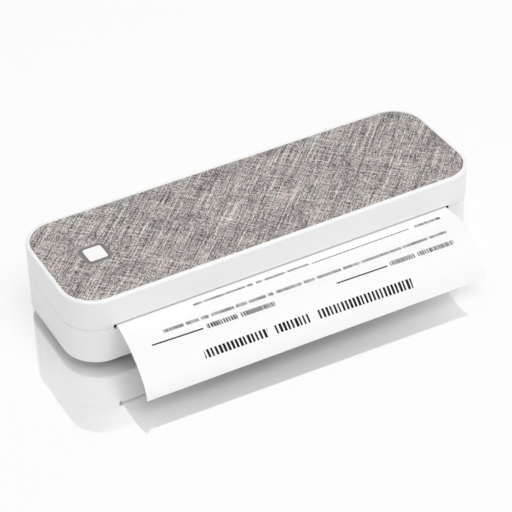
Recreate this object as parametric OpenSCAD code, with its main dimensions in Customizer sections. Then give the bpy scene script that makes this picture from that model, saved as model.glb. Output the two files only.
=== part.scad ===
// Portable thermal printer for A4 paper, with a cover that hinges open over the roll.
// Millimetres. The origin is the centre of the casing's underside. +X runs along the
// casing, -Y is the side where the paper comes out, and +Z is up.

/* [Casing] */
// Length of the casing
casing_length = 256; // [255:1:300]
// Depth of the casing
casing_depth = 80; // [80:1:100]
// Height of the casing
casing_height = 41.3; // [41:0.1:50]
// Plan radius of the four upright corners
corner_radius = 20.4; // [12:0.1:22]
// Thickness of the moulded walls
wall = 2; // [1.6:0.1:2.2]
// Round along the top edge
top_edge_radius = 1.2; // [1:0.1:3.5]
// Round along the bottom edge
bottom_edge_radius = 0.4; // [0.3:0.1:2.5]
// Height of the base's upper edge
parting_height = 22.1; // [21.8:0.1:23]
// Gap that shows between base and cover
parting_gap = 0.2; // [0.2:0.05:0.5]

/* [Top panel] */
// Width of the bare rim round the fabric
panel_rim = 2.3; // [1.5:0.1:5]
// Thickness of the fabric panel
panel_thickness = 0.6; // [0.3:0.1:1]
// Distance from the button's centre to the casing's end
button_from_end = 30.7; // [28:0.1:40]
// Width of the square button cap
button_width = 11.2; // [10:0.1:13]
// Corner radius of the button cap
button_corner = 1.4; // [0.8:0.1:3]
// How far the cap stands above the fabric
button_rise = 0.3; // [0:0.1:1]
// Travel of the button
button_travel = 0.4; // [0.2:0.05:0.5]
// Width of the smooth ring round the button
bezel_width = 2; // [1.6:0.1:3]

/* [Paper] */
// Distance from the paper's edge to the casing's end
paper_margin = 23; // [22:0.5:40]
// Thickness of the paper
paper_thickness = 0.16; // [0.1:0.01:0.2]
// Height of the slot above the base's edge
slot_height = 1.4; // [1.2:0.1:2]
// Height of the paper above the base's edge
paper_rise = 0.6; // [0.5:0.05:0.8]
// Room between the motor and the paper roll
roll_front_room = 2.5; // [1:0.1:4]
// Room between the paper roll and the inner cover
roll_top_room = 0.7; // [0.5:0.1:2]
// Core's radius as a share of the roll's
core_share = 0.4643; // [0.35:0.0001:0.7]
// Wall of the cardboard core
core_wall = 1; // [0.8:0.1:1.5]
// Room in the slot beside the paper
slot_end_room = 1.7; // [1:0.1:2.5]
// Depth of the notch at each end of the slot
slot_end_depth = 2; // [0.5:0.1:3]
// How far the sheet's left edge reaches out in front of the casing
sheet_reach = 43.4; // [35:0.1:50]
// How much further its right edge reaches
sheet_twist = 4.8; // [0:0.1:8]
// How far the sheet drifts towards the button's end
sheet_drift = 4.6; // [0:0.1:6]
// Height of the sheet's front edge over the casing's underside
sheet_end_height = 4.5; // [0.5:0.1:8]

/* [Platen and print head] */
// Radius of the rubber platen
platen_radius = 6; // [5.5:0.1:6.2]
// Radius of the platen's steel shaft
shaft_radius = 2; // [1.5:0.1:2.5]
// Distance from the casing's front to the platen's axis
platen_setback = 13; // [12.5:0.1:14]
// Air on each side of the paper in the nip
nip_gap = 0.12; // [0.08:0.01:0.2]
// Depth of the print head, front to back
head_depth = 11.5; // [10:0.5:12]
// Thickness of the ceramic strip
ceramic_thickness = 0.7; // [0.5:0.1:1]
// Height of the heat sink
sink_height = 4.4; // [4:0.1:5]
// How far the head can lift against its springs
head_travel = 0.6; // [0.3:0.1:0.8]
// Height of the head springs as fitted
spring_height = 5.2; // [4.5:0.1:6]
// Wire thickness of the head springs
spring_wire = 0.5; // [0.4:0.05:0.6]
// Turns of each head spring
spring_turns = 5; // [3:1:6]

/* [Drive] */
// Gear module
gear_module = 0.5; // [0.48:0.01:0.5]
// Teeth on the motor pinion
pinion_teeth = 12; // [12:1:14]
// Teeth on the idler's large wheel
idler_large_teeth = 34; // [33:1:35]
// Teeth on the idler's small wheel
idler_small_teeth = 14; // [14:1:16]
// Teeth on the platen gear
platen_teeth = 26; // [25:1:27]
// Face width of the inner pair of gears
inner_gear_width = 3; // [2.5:0.1:3.2]
// Face width of the outer pair of gears
outer_gear_width = 2; // [1.5:0.1:2.2]
// Radius of the stepper motor
motor_radius = 10; // [8:0.1:10]
// Length of the stepper motor
motor_length = 16; // [12:1:24]
// Distance from the platen's axis to the motor's axis, front to back
motor_offset = 20.5; // [20:0.1:20.8]

/* [Power] */
// Radius of a battery cell
cell_radius = 9.2; // [8:0.1:9.3]
// Length of a battery cell
cell_length = 65; // [50:1:70]
// Depth of the charge board, front to back
charge_board_depth = 18; // [15:1:20]
// Width of the USB socket
usb_width = 8.94; // [7.5:0.01:9]
// Height of the USB socket
usb_height = 3.26; // [2.6:0.01:3.3]

/* [Hinge and feet] */
// Distance from the casing's back to the hinge axis
hinge_inset = 2.5; // [2.5:0.1:3]
// Radius of the hinge knuckles
knuckle_radius = 2.3; // [2:0.1:2.4]
// Radius of the hinge pins
hinge_pin_radius = 0.75; // [0.6:0.05:1]
// Distance from the middle to each hinge
hinge_station = 70; // [50:1:85]
// Length of the cover's knuckle
knuckle_length = 8; // [6:0.5:10]
// Angle to which the cover opens
cover_opening = 80; // [60:1:84]
// Radius of a rubber foot
foot_radius = 5.5; // [3:0.5:7]
// How far a foot stands below the casing
foot_height = 5.6; // [0.5:0.1:6]

/* [Hidden] */
$fn = 64;

// Clearances
fit = 0.05;            // a pin, screw or bush in its hole
slack = 0.1;           // a loose piece in its seat
side_gap = 0.4;        // between the end faces of turning pieces
eps = 0.01;            // overshoot of a cut
bite = 0.3;            // overlap of a rib with the wall that carries it

// Casing
half_length = casing_length / 2;
half_depth = casing_depth / 2;
cover_bottom = parting_height + parting_gap;
inner_length = casing_length - 2 * wall;
inner_depth = casing_depth - 2 * wall;
inner_corner = corner_radius - wall;
inner_edge = 0.8;
recess_floor = casing_height - panel_thickness;
ceiling = recess_floor - wall;

// Heights under the cover's top
board_thickness = 1.6;
board_drop = 5;
liner_gap = 1.5;
liner = 1;
board_z = ceiling - board_drop;
board_top = board_z + board_thickness;
liner_z = board_z - liner_gap - liner;

// Paper path
paper_width = casing_length - 2 * paper_margin;
slot_width = paper_width + 2 * slot_end_room;
lip_radius = 1.2;
paper_z = parting_height + paper_rise;
half_paper = paper_width / 2;
roll_lift = 0.5;
cradle_gap = 0.3;
roll_back_room = 4;
platen_y = -half_depth + platen_setback;
platen_z = paper_z - paper_thickness / 2 - nip_gap - platen_radius;
motor_y = platen_y + motor_offset;
motor_z = wall + 0.5 + motor_radius;
// the roll fills the room between motor, back wall, floor and inner cover
roll_radius = min(
    liner_z - roll_top_room - wall - roll_lift,
    half_depth - wall - roll_back_room - motor_y - motor_radius - roll_front_room
) / 2;
roll_y = half_depth - wall - roll_back_room - roll_radius;
roll_z = wall + roll_lift + roll_radius;
core_radius = core_share * roll_radius;

// Platen and chassis
rubber_end = half_paper + 1;
chassis_z = wall + 1.5;
chassis_thickness = 1;
chassis_front = platen_y - 7;
chassis_back = platen_y + 8.8;
chassis_top = parting_height - 0.8;
ear_inner = half_paper + 4;
ear_thickness = 1.2;
ear_outer = ear_inner + ear_thickness;
bush_wall = 1.5;
bush_rim = 1;
bush_radius = shaft_radius + bush_wall;
bush_flange_radius = bush_radius + bush_rim;
bush_flange = 1;
bush_stub = 0.5;
boss_radius = 3;
outer_screw_x = half_paper - 10;
inner_screw_x = half_paper * 32 / 105;
chassis_screw_x = [-outer_screw_x, -inner_screw_x, inner_screw_x, outer_screw_x];
chassis_screw_y = platen_y - 3;

// Gears
pressure_angle = 25;
backlash = 0.1;
inner_gear_x = ear_outer + 2;
outer_gear_x = inner_gear_x + inner_gear_width + 0.5;
motor_shaft_radius = 1;
idler_pin_radius = 1;
platen_axis = [platen_y, platen_z];
motor_axis = [motor_y, motor_z];
inner_distance = gear_module * (platen_teeth + idler_small_teeth) / 2;
outer_distance = gear_module * (pinion_teeth + idler_large_teeth) / 2;
idler_axis = triangle_point(motor_axis, platen_axis, outer_distance, inner_distance);
platen_phase = 0;
small_phase = meshed(platen_axis, platen_teeth, platen_phase, idler_axis, idler_small_teeth);
large_phase = small_phase;
pinion_phase = meshed(idler_axis, idler_large_teeth, large_phase, motor_axis, pinion_teeth);

// Print head, from the nip upwards
head_bottom = paper_z + paper_thickness / 2 + nip_gap;
sink_bottom = head_bottom + ceramic_thickness;
sink_top = sink_bottom + sink_height;
head_front = platen_y - head_depth / 2 - 0.75;
head_back = head_front + head_depth;
head_end = ear_inner;
tab_width = 3;
tab_height = 2.2;
tab_z = sink_bottom + 1.4;
spring_radius = 2.2;
outer_spring_x = half_paper - 20;
inner_spring_x = half_paper / 3;
spring_x = [-outer_spring_x, -inner_spring_x, inner_spring_x, outer_spring_x];
spring_y = platen_y - 1;
connector_half = 18;

// Inner cover
channel_front = head_front - 1 - liner;
channel_back = platen_y + 10;
channel_roof = sink_top + spring_height;
channel_bottom = sink_bottom + 0.6;
cheek_inner = head_end + side_gap;
cheek_outer = cheek_inner + 1.6;
guide_radius = 0.6;
guide_y = channel_back - guide_radius;
guide_z = head_bottom + guide_radius;
liner_back = half_depth - 5.4;
liner_screw_length = 3.6;
front_screw_y = channel_back + 3.8;
rear_screw_y = liner_back - 4.6;
rear_screw_x = half_paper * 40 / 105;
guide_rib = 1;
guide_rib_depth = 1.2;
guide_rib_pitch = 25;

// Control board and button
button_x = -half_length + button_from_end;
board_length = 70;
board_x = button_x - 20.7;
board_y = front_screw_y + 3.2;
board_depth = rear_screw_y - 6 - board_y;
board_inset = 4;
board_screw_length = 4.2;
// parts on the board: place from its corner, then length, depth and height
board_chips = [
    [40, 12, 10, 10, 1.2],
    [42, 4, 5, 3, 1],
    [58, 7, 4, board_depth - 14, 2.5],
    [34, board_depth - 9, 8, 6, 3],
    for (k = [0 : 3]) [32, 9 + 3 * k, 3, 1.4, 0.8]
];
bezel_gap = 0.25;
bezel_inner = button_width + 2 * bezel_gap;
bezel_outer = button_width + 2 * bezel_width + 0.2;
collar_outer = bezel_inner + 1.6;
collar_drop = 1.4;
collar_bottom = ceiling - collar_drop;
button_flange = 0.9;
button_top = casing_height + button_rise;
cap_thickness = 1.4;
cap_wall = 1.3;
switch_width = 6.2;
switch_height = 2.2;
plunger_radius = 1.6;
plunger_rise = 0.5;
plunger_top = board_top + switch_height + plunger_rise;

// Hinge
hinge_y = half_depth - hinge_inset;
hinge_z = parting_height + parting_gap / 2;
knuckle_gap = 0.3;
side_knuckle = 6;
hinge_half = knuckle_length / 2 + knuckle_gap + side_knuckle;
bevel_angle = cover_opening / 2 + 1;

// Latch
latch_width = 6;
latch_post_x = half_length - wall - 6.5;
latch_post = 2;
latch_post_top = 15;
latch_strip = 0.5;
latch_x = latch_post_x + latch_post;
latch_nose = 2.6;
latch_nose_z = cover_bottom + 4.5;
latch_top = latch_nose_z + 3;
latch_screw_z = 9;

latch_room = 1;

// Battery, charge board and socket
cell_y = chassis_back + 1 + cell_radius;
cell_z = wall + slack + cell_radius;
cell_gap = 0.5;
charge_board_z = wall + 4.2;
charge_board_x = ear_outer + 1.8;
charge_board_end = half_length - wall - side_gap;
charge_board_y = 4;
latch_y = charge_board_y - 0.5 - latch_width / 2;
charge_board_top = charge_board_z + board_thickness;
usb_y = charge_board_y + charge_board_depth / 2;
usb_z = charge_board_top + usb_height / 2;
usb_length = 7.4;
usb_end = half_length - 0.6;
charge_post_x = charge_board_x + 3;
charge_post_inset = 3;
charge_screw_length = board_thickness + 3;

// Paper sensor
sensor_x = half_paper * 38 / 105;
sensor_length = 5;
sensor_depth = 2.6;
sensor_height = 3;
sensor_drop = 0.4;

// Screws: shank radius, head radius, head height
screw_shank = 0.95;
screw_head = 1.9;
screw_head_height = 1.2;
screw_hole = screw_shank + fit;

// Feet
foot_end_inset = 28;
foot_side_inset = 16;
foot_x = half_length - foot_end_inset;
foot_y = half_depth - foot_side_inset;
foot_pocket = 1;
foot_round = 1;

// Stiffening ribs and locating tongues
rib = 1.2;
rib_depth = 1.6;
rib_pitch = 24;
tongue = 1.1;
tongue_gap = 0.2;
tongue_rise = 1.6;
tongue_root = 5;
tongue_length = 9;

// ---------------------------------------------------------------- geometry helpers

// The corner, on the lower side, of a triangle on a and b with sides ra and rb.
function triangle_point(a, b, ra, rb) =
    let (d = norm(b - a),
         u = (b - a) / d,
         along = (ra * ra - rb * rb + d * d) / (2 * d),
         off = sqrt(ra * ra - along * along))
    a + along * u + off * [u[1], -u[0]] * sign(u[0]);

function direction(from, to) = atan2(to[1] - from[1], to[0] - from[0]);

// Angle of a tooth on wheel b, so that it meshes with wheel a.
function meshed(a_axis, a_teeth, a_phase, b_axis, b_teeth) =
    let (d = direction(a_axis, b_axis))
    d + 180 - (a_teeth / b_teeth) * (a_phase - d) - 180 / b_teeth;

function involute(r, base) = sqrt(pow(r / base, 2) - 1) * 180 / PI - acos(base / r);

function tooth_half(teeth, r) =
    let (pitch = gear_module * teeth / 2,
         base = pitch * cos(pressure_angle),
         play = backlash / (4 * pitch) * 180 / PI)
    90 / teeth - play + involute(pitch, base) - involute(max(r, base), base);

function polar(r, a) = [r * cos(a), r * sin(a)];

// Sections are drawn with Y across and Z up, and run along X from x0 to x1.
module along_x(x0, x1) {
    translate([x0, 0, 0])
        rotate([90, 0, 90])
            linear_extrude(x1 - x0) children();
}

module rod_x(x0, x1, y, z, r) {
    along_x(x0, x1) translate([y, z]) circle(r);
}

module span(low, high) {
    translate(low) cube(high - low);
}

// The same on both ends of the casing.
module both_ends() {
    for (side = [0, 1]) mirror([side, 0, 0]) children();
}

module rounded_square(l, d, r) {
    square([l - 2 * r, d], center = true);
    square([l, d - 2 * r], center = true);
    for (x = [-1, 1], y = [-1, 1])
        translate([x * (l / 2 - r), y * (d / 2 - r)]) circle(r);
}

module rounded_plate(l, d, r, z0, z1) {
    translate([0, 0, z0]) linear_extrude(z1 - z0) rounded_square(l, d, r);
}

// Half section of a block with a round top and bottom edge at the outer side.
module edge_section(w, h, top_r, bottom_r) {
    square([w - bottom_r, h / 2]);
    translate([0, bottom_r]) square([w, h / 2 - bottom_r]);
    if (bottom_r > 0) translate([w - bottom_r, bottom_r]) circle(bottom_r);
    translate([0, h / 2]) square([w - top_r, h / 2]);
    translate([0, h / 2]) square([w, h / 2 - top_r]);
    if (top_r > 0) translate([w - top_r, h - top_r]) circle(top_r);
}

module full_section(w, h, top_r, bottom_r) {
    edge_section(w / 2, h, top_r, bottom_r);
    mirror([1, 0]) edge_section(w / 2, h, top_r, bottom_r);
}

// Rounded block from z0 to z1, with its edges rounded as the casing's are.
module rounded_block(l, d, r, z0, z1, top_r = 0, bottom_r = 0) {
    h = z1 - z0;
    x = l / 2 - r;
    y = d / 2 - r;
    translate([0, 0, z0]) {
        along_x(-x, x) full_section(d, h, top_r, bottom_r);
        for (side = [0, 1]) mirror([side, 0, 0]) {
            translate([x, y, 0])
                rotate([90, 0, 0])
                    linear_extrude(2 * y) edge_section(r, h, top_r, bottom_r);
            for (end = [0, 1]) mirror([0, end, 0])
                translate([x, y, 0])
                    rotate_extrude(angle = 90) edge_section(r, h, top_r, bottom_r);
        }
    }
}

module gear_outline(teeth, phase) {
    pitch = gear_module * teeth / 2;
    base = pitch * cos(pressure_angle);
    tip = pitch + 0.9 * gear_module;
    root = pitch - 1.2 * gear_module;
    low = max(root, base);
    steps = 3;
    flank = [root, for (k = [0 : steps]) low + (tip - low) * k / steps];
    count = len(flank);
    polygon([
        for (i = [0 : teeth - 1])
            let (middle = phase + i * 360 / teeth)
            each concat(
                [for (k = [0 : count - 1])
                    polar(flank[k], middle - tooth_half(teeth, flank[k]))],
                [for (k = [count - 1 : -1 : 0])
                    polar(flank[k], middle + tooth_half(teeth, flank[k]))]
            )
    ]);
}

// A spur gear on an axis along X.
module gear(teeth, phase, axis, x0, x1, bore) {
    along_x(x0, x1) translate(axis) difference() {
        gear_outline(teeth, phase);
        circle(bore);
    }
}

// A pan head screw that points down, with the underside of its head at the origin.
module screw(length) {
    translate([0, 0, -length]) cylinder(h = length + eps, r = screw_shank);
    cylinder(h = screw_head_height, r = screw_head);
}

// ---------------------------------------------------------------- hinge

// A knuckle with the gusset that joins it to its wall, up for the cover and down for the base.
module knuckle(x0, x1, up) {
    reach = hinge_inset - wall + bite;
    along_x(x0, x1) translate([hinge_y, hinge_z]) {
        circle(knuckle_radius);
        polygon([
            [-knuckle_radius, 0],
            [0, 0],
            [reach, up * reach * tan(bevel_angle)],
            [reach, up * (knuckle_radius + 7)],
            [-knuckle_radius, up * (knuckle_radius + 3)]
        ]);
    }
}

module knuckle_relief(x0, x1) {
    rod_x(x0, x1, hinge_y, hinge_z, knuckle_radius + knuckle_gap);
}

// The room that a bevelled back edge leaves for the cover's swing.
module back_bevel(up) {
    far = hinge_inset + 2;
    along_x(-half_length, half_length) translate([hinge_y, hinge_z])
        polygon([[0, 0], [far, up * far * tan(bevel_angle)], [far, -up * 2], [0, -up * 2]]);
}

module cover_knuckle_span() {
    for (side = [-1, 1]) translate([side * hinge_station, 0, 0]) children();
}

// ---------------------------------------------------------------- base

module roll_cradle() {
    pitch = (half_paper - 25) / 2;
    for (k = [-2 : 2])
        along_x(k * pitch - 0.8, k * pitch + 0.8) difference() {
            translate([roll_y - roll_radius + 1, wall - bite])
                square([2 * roll_radius - 2, roll_z - 4 - wall + bite]);
            translate([roll_y, roll_z]) circle(roll_radius + cradle_gap);
        }
    both_ends()
        along_x(half_paper + 0.6, half_paper + 2.2)
            translate([roll_y - roll_radius - 1, wall - bite])
                square([half_depth - wall + bite - roll_y + roll_radius + 1,
                        chassis_top - wall + bite]);
}

module cell_saddles() {
    both_ends() {
        for (x = [8, cell_length / 2, cell_length - 8])
            along_x(x - 0.8, x + 0.8) difference() {
                translate([cell_y - cell_radius + 1, wall - bite])
                    square([2 * cell_radius - 2, cell_z - 3 - wall + bite]);
                translate([cell_y, cell_z]) circle(cell_radius + slack);
            }
        along_x(cell_length + cell_gap + 1.8, cell_length + cell_gap + 3.4)
            translate([cell_y - 5, wall - bite]) square([10, cell_radius + 4]);
    }
}

module post(x, y, r, z0, z1, hole_depth) {
    difference() {
        translate([x, y, z0]) cylinder(h = z1 - z0, r = r);
        translate([x, y, z1 - hole_depth]) cylinder(h = hole_depth + eps, r = screw_hole);
    }
}

// Tongues that stand up inside the cover's end walls.
module locating_tongues() {
    outer = half_length - wall - tongue_gap;
    for (y = [latch_y - latch_width / 2 - 3 - tongue_length, latch_y + latch_width / 2 + 3])
        translate([0, y + tongue_length, 0]) rotate([90, 0, 0])
            linear_extrude(tongue_length)
                polygon([
                    [outer + tongue_gap + bite, parting_height - tongue_root],
                    [outer + tongue_gap + bite, parting_height - 1],
                    [outer, parting_height - 1],
                    [outer, cover_bottom + tongue_rise - 0.4],
                    [outer - 0.4, cover_bottom + tongue_rise],
                    [outer - tongue, cover_bottom + tongue_rise],
                    [outer - tongue, parting_height - tongue_root + 1]
                ]);
}

module usb_outline(grow) {
    rounded_square(usb_width + 2 * grow, usb_height + 2 * grow, usb_height / 2 + grow - eps);
}

module base_shell() {
    color("white") difference() {
        union() {
            difference() {
                rounded_block(casing_length, casing_depth, corner_radius,
                              0, parting_height, 0, bottom_edge_radius);
                rounded_block(inner_length, inner_depth, inner_corner,
                              wall, parting_height + 1, 0, inner_edge);
                back_bevel(-1);
            }
            for (side = [-1, 1])
                for (end = [-1, 1])
                    let (near = side * hinge_station + end * (knuckle_length / 2 + knuckle_gap),
                         far = near + end * side_knuckle)
                    knuckle(min(near, far), max(near, far), -1);
            roll_cradle();
            cell_saddles();
            for (x = chassis_screw_x)
                translate([x, chassis_screw_y, wall - bite])
                    cylinder(h = chassis_z - wall + bite, r = boss_radius);
            for (y = [charge_post_inset, charge_board_depth - charge_post_inset])
                post(charge_post_x, charge_board_y + y, 2.2, wall - bite, charge_board_z, 3.4);
            both_ends() locating_tongues();
            both_ends() difference() {
                span([latch_post_x, latch_y - latch_width / 2, wall - bite],
                     [latch_x, latch_y + latch_width / 2, latch_post_top]);
                rod_x(latch_post_x - eps, latch_x + eps, latch_y, latch_screw_z, screw_hole);
            }
        }
        // room for the cover's knuckles, and the pins' bores
        cover_knuckle_span()
            knuckle_relief(-knuckle_length / 2 - knuckle_gap, knuckle_length / 2 + knuckle_gap);
        cover_knuckle_span()
            rod_x(-hinge_half - eps, hinge_half + eps, hinge_y, hinge_z, hinge_pin_radius + fit);
        // socket in the end wall
        translate([half_length - wall - 1, usb_y, usb_z]) rotate([90, 0, 90])
            linear_extrude(wall + 2) usb_outline(0.3);
        for (x = chassis_screw_x)
            translate([x, chassis_screw_y, wall / 2])
                cylinder(h = chassis_z, r = screw_hole);
        // pockets for the feet
        for (x = [-foot_x, foot_x], y = [-foot_y, foot_y])
            translate([x, y, -eps]) cylinder(h = foot_pocket + eps, r = foot_radius + slack);
        // rounded lip under the paper
        along_x(-slot_width / 2, slot_width / 2) difference() {
            translate([-half_depth - 1, parting_height - lip_radius])
                square([lip_radius + 1, lip_radius + 1]);
            translate([-half_depth + lip_radius, parting_height - lip_radius])
                circle(lip_radius);
        }
        // notches beside the paper
        both_ends()
            span([half_paper + slack, -half_depth - 1, parting_height - slot_end_depth],
                 [slot_width / 2, -half_depth + wall + 1, parting_height + 1]);
    }
}

module rubber_feet() {
    color("dimgray")
        for (x = [-foot_x, foot_x], y = [-foot_y, foot_y])
            translate([x, y, -foot_height]) rotate_extrude() {
                square([foot_radius - foot_round, foot_height]);
                translate([0, foot_round])
                    square([foot_radius, foot_height + foot_pocket - foot_round]);
                translate([foot_radius - foot_round, foot_round]) circle(foot_round);
            }
}

// ---------------------------------------------------------------- chassis and drive

module ear_section(back, holes) {
    cut = 3;
    difference() {
        polygon([
            [chassis_front, chassis_z],
            [back, chassis_z],
            [back, chassis_top - cut],
            [back - cut, chassis_top],
            [chassis_front + cut, chassis_top],
            [chassis_front, chassis_top - cut]
        ]);
        translate(platen_axis) circle(bush_radius + fit);
        if (holes) {
            translate(idler_axis) circle(idler_pin_radius + 0.02);
            translate(motor_axis) circle(3.1);
            for (a = [45, 225])
                translate(motor_axis + polar(motor_radius - 2.5, a)) circle(screw_hole);
        }
    }
}

module chassis() {
    color("silver") difference() {
        union() {
            along_x(-ear_inner, ear_inner) {
                translate([chassis_front, chassis_z])
                    square([chassis_back - chassis_front, chassis_thickness]);
                translate([chassis_back - chassis_thickness, chassis_z])
                    square([chassis_thickness, chassis_top - 1 - chassis_z]);
            }
            along_x(-ear_outer, -ear_inner) ear_section(chassis_back, false);
            along_x(ear_inner, ear_outer) ear_section(motor_y + motor_radius - 1, true);
        }
        for (x = chassis_screw_x)
            translate([x, chassis_screw_y, chassis_z - eps])
                cylinder(h = chassis_thickness + 2 * eps, r = screw_hole + 0.1);
    }
}

module chassis_screws() {
    color("gray")
        for (x = chassis_screw_x)
            translate([x, chassis_screw_y, chassis_z + chassis_thickness]) screw(chassis_z);
}

module platen_bushes() {
    color("ivory") both_ends() difference() {
        union() {
            rod_x(ear_inner - bush_flange, ear_inner, platen_y, platen_z, bush_flange_radius);
            rod_x(ear_inner - eps, ear_outer + bush_stub, platen_y, platen_z, bush_radius);
        }
        rod_x(ear_inner - bush_flange - eps, ear_outer + 1, platen_y, platen_z,
              shaft_radius + fit);
    }
}

module stepper_motor() {
    color("silver") difference() {
        union() {
            rod_x(ear_inner - motor_length, ear_inner, motor_y, motor_z, motor_radius);
            rod_x(ear_inner - eps, ear_outer, motor_y, motor_z, 3);
        }
        rod_x(ear_inner - 5, ear_outer + 1, motor_y, motor_z, motor_shaft_radius + fit);
        for (a = [45, 225])
            let (p = motor_axis + polar(motor_radius - 2.5, a))
                rod_x(ear_inner - 2.5, ear_inner + eps, p[0], p[1], screw_hole);
    }
}

module motor_screws() {
    color("gray")
        for (a = [45, 225])
            let (p = motor_axis + polar(motor_radius - 2.5, a))
            translate([ear_outer, p[0], p[1]]) rotate([0, 90, 0]) screw(3.4);
}

module motor_shaft() {
    color("silver")
        rod_x(ear_inner - 4.8, outer_gear_x + outer_gear_width, motor_y, motor_z,
              motor_shaft_radius);
}

module motor_pinion() {
    color("gold")
        gear(pinion_teeth, pinion_phase, motor_axis, outer_gear_x,
             outer_gear_x + outer_gear_width, motor_shaft_radius);
}

module idler_pin() {
    end = outer_gear_x + outer_gear_width + side_gap;
    color("silver") {
        rod_x(ear_inner, end + eps, idler_axis[0], idler_axis[1], idler_pin_radius);
        rod_x(end, end + 0.7, idler_axis[0], idler_axis[1], idler_pin_radius + 0.8);
    }
}

module idler_gear() {
    bore = idler_pin_radius + fit;
    color("ivory") {
        gear(idler_small_teeth, small_phase, idler_axis, inner_gear_x, outer_gear_x, bore);
        gear(idler_large_teeth, large_phase, idler_axis, outer_gear_x,
             outer_gear_x + outer_gear_width, bore);
        along_x(ear_outer + side_gap, inner_gear_x) translate(idler_axis) difference() {
            circle(2);
            circle(bore);
        }
    }
}

module platen_shaft() {
    color("silver")
        rod_x(-ear_outer - 1, inner_gear_x + inner_gear_width, platen_y, platen_z,
              shaft_radius);
}

module platen_rubber() {
    color("black") along_x(-rubber_end, rubber_end) translate(platen_axis) difference() {
        circle(platen_radius);
        circle(shaft_radius);
    }
}

module platen_gear() {
    color("ivory")
        gear(platen_teeth, platen_phase, platen_axis, inner_gear_x,
             inner_gear_x + inner_gear_width, shaft_radius);
}

// ---------------------------------------------------------------- electrics in the base

module battery_cells() {
    color("steelblue") both_ends() {
        rod_x(cell_gap, cell_gap + cell_length - 1, cell_y, cell_z, cell_radius);
        rod_x(cell_gap + cell_length - 1 - eps, cell_gap + cell_length, cell_y, cell_z, 3);
    }
}

module charge_board() {
    color("seagreen") difference() {
        span([charge_board_x, charge_board_y, charge_board_z],
             [charge_board_end, charge_board_y + charge_board_depth, charge_board_top]);
        for (y = [charge_post_inset, charge_board_depth - charge_post_inset])
            translate([charge_post_x, charge_board_y + y, charge_board_z - eps])
                cylinder(h = board_thickness + 2 * eps, r = screw_hole + 0.1);
    }
}

module charge_board_screws() {
    color("gray")
        for (y = [charge_post_inset, charge_board_depth - charge_post_inset])
            translate([charge_post_x, charge_board_y + y, charge_board_top])
                screw(charge_screw_length);
}

module usb_socket() {
    color("silver") translate([usb_end - usb_length, usb_y, usb_z]) rotate([90, 0, 90]) {
        difference() {
            linear_extrude(usb_length) usb_outline(0);
            translate([0, 0, 1]) linear_extrude(usb_length) usb_outline(-0.35);
        }
        translate([0, 0, 1 - eps]) linear_extrude(usb_length - 2)
            square([usb_width - 2.4, 0.7], center = true);
    }
}

module paper_sensor() {
    color("black") translate([sensor_x, chassis_back, chassis_top - sensor_drop - sensor_height])
        cube([sensor_length, sensor_depth, sensor_height]);
}

// ---------------------------------------------------------------- latch and hinge pins

// Leaf spring whose bent nose holds the cover's catch down.
module latch_springs() {
    x = latch_x;
    line = [
        [x, 4], [x, latch_nose_z - latch_nose], [x + latch_nose, latch_nose_z],
        [x + 0.4, latch_top]
    ];
    t = latch_strip;
    color("silver") both_ends() difference() {
        translate([0, latch_y + latch_width / 2 - 1, 0]) rotate([90, 0, 0])
            linear_extrude(latch_width - 2)
                polygon([
                    line[0], line[1], line[2], line[3],
                    line[3] + [t, 0], line[2] + [1.4 * t, 0], line[1] + [t, -0.4 * t],
                    line[0] + [t, 0]
                ]);
        rod_x(x - eps, x + t + eps, latch_y, latch_screw_z, screw_hole + 0.1);
    }
}

module latch_screws() {
    color("gray") both_ends()
        translate([latch_x + latch_strip, latch_y, latch_screw_z])
            rotate([0, 90, 0]) screw(latch_post + latch_strip);
}

module latch_catch() {
    tip = latch_x + latch_strip + 1.7;
    root = half_length - wall + bite;
    top = latch_nose_z - 0.9;
    both_ends()
        translate([0, latch_y + latch_width / 2, 0]) rotate([90, 0, 0])
            linear_extrude(latch_width)
                polygon([
                    [tip, top - 1.4], [tip + 0.4, top - 0.9], [root, top + 0.2],
                    [root, top - 3.4], [tip + 0.6, top - 2.4]
                ]);
}

module hinge_pins() {
    color("silver") cover_knuckle_span()
        rod_x(-hinge_half, hinge_half, hinge_y, hinge_z, hinge_pin_radius);
}

// ---------------------------------------------------------------- paper

function bezier(p, t) =
    pow(1 - t, 3) * p[0] + 3 * pow(1 - t, 2) * t * p[1]
    + 3 * (1 - t) * t * t * p[2] + t * t * t * p[3];

// One edge of the sheet, as points [x, y, z] from the roll to the free front edge.
function sheet_edge(x, reach, lead, back, lift, end_height) =
    let (mouth = [x, -half_depth, paper_z],
         end = [x - sheet_drift, -half_depth - reach, end_height],
         free = [mouth, mouth + [0, -lead, 0], end + [sheet_drift / 4, back, lift], end],
         steps = 20,
         // the web bends under the guide, and leaves the roll at a tangent
         bend = [guide_y, paper_z],
         way = [roll_y, roll_z] - bend,
         touch = roll_radius + slack + paper_thickness / 2,
         up = atan2(way[1], way[0]) + asin(touch / norm(way)),
         web = sqrt(norm(way) * norm(way) - touch * touch),
         roll_end = bend + polar(web, up))
    [
        [x, roll_end[0], roll_end[1]], [x, bend[0], bend[1]],
        for (i = [0 : steps]) bezier(free, i / steps)
    ];

// Direction across the sheet at point i of an edge, seen along X.
function sheet_side(edge, i) =
    let (a = edge[max(i - 1, 0)], b = edge[min(i + 1, len(edge) - 1)],
         run = [b[1] - a[1], b[2] - a[2]])
    [0, run[1], -run[0]] / norm(run);

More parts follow.
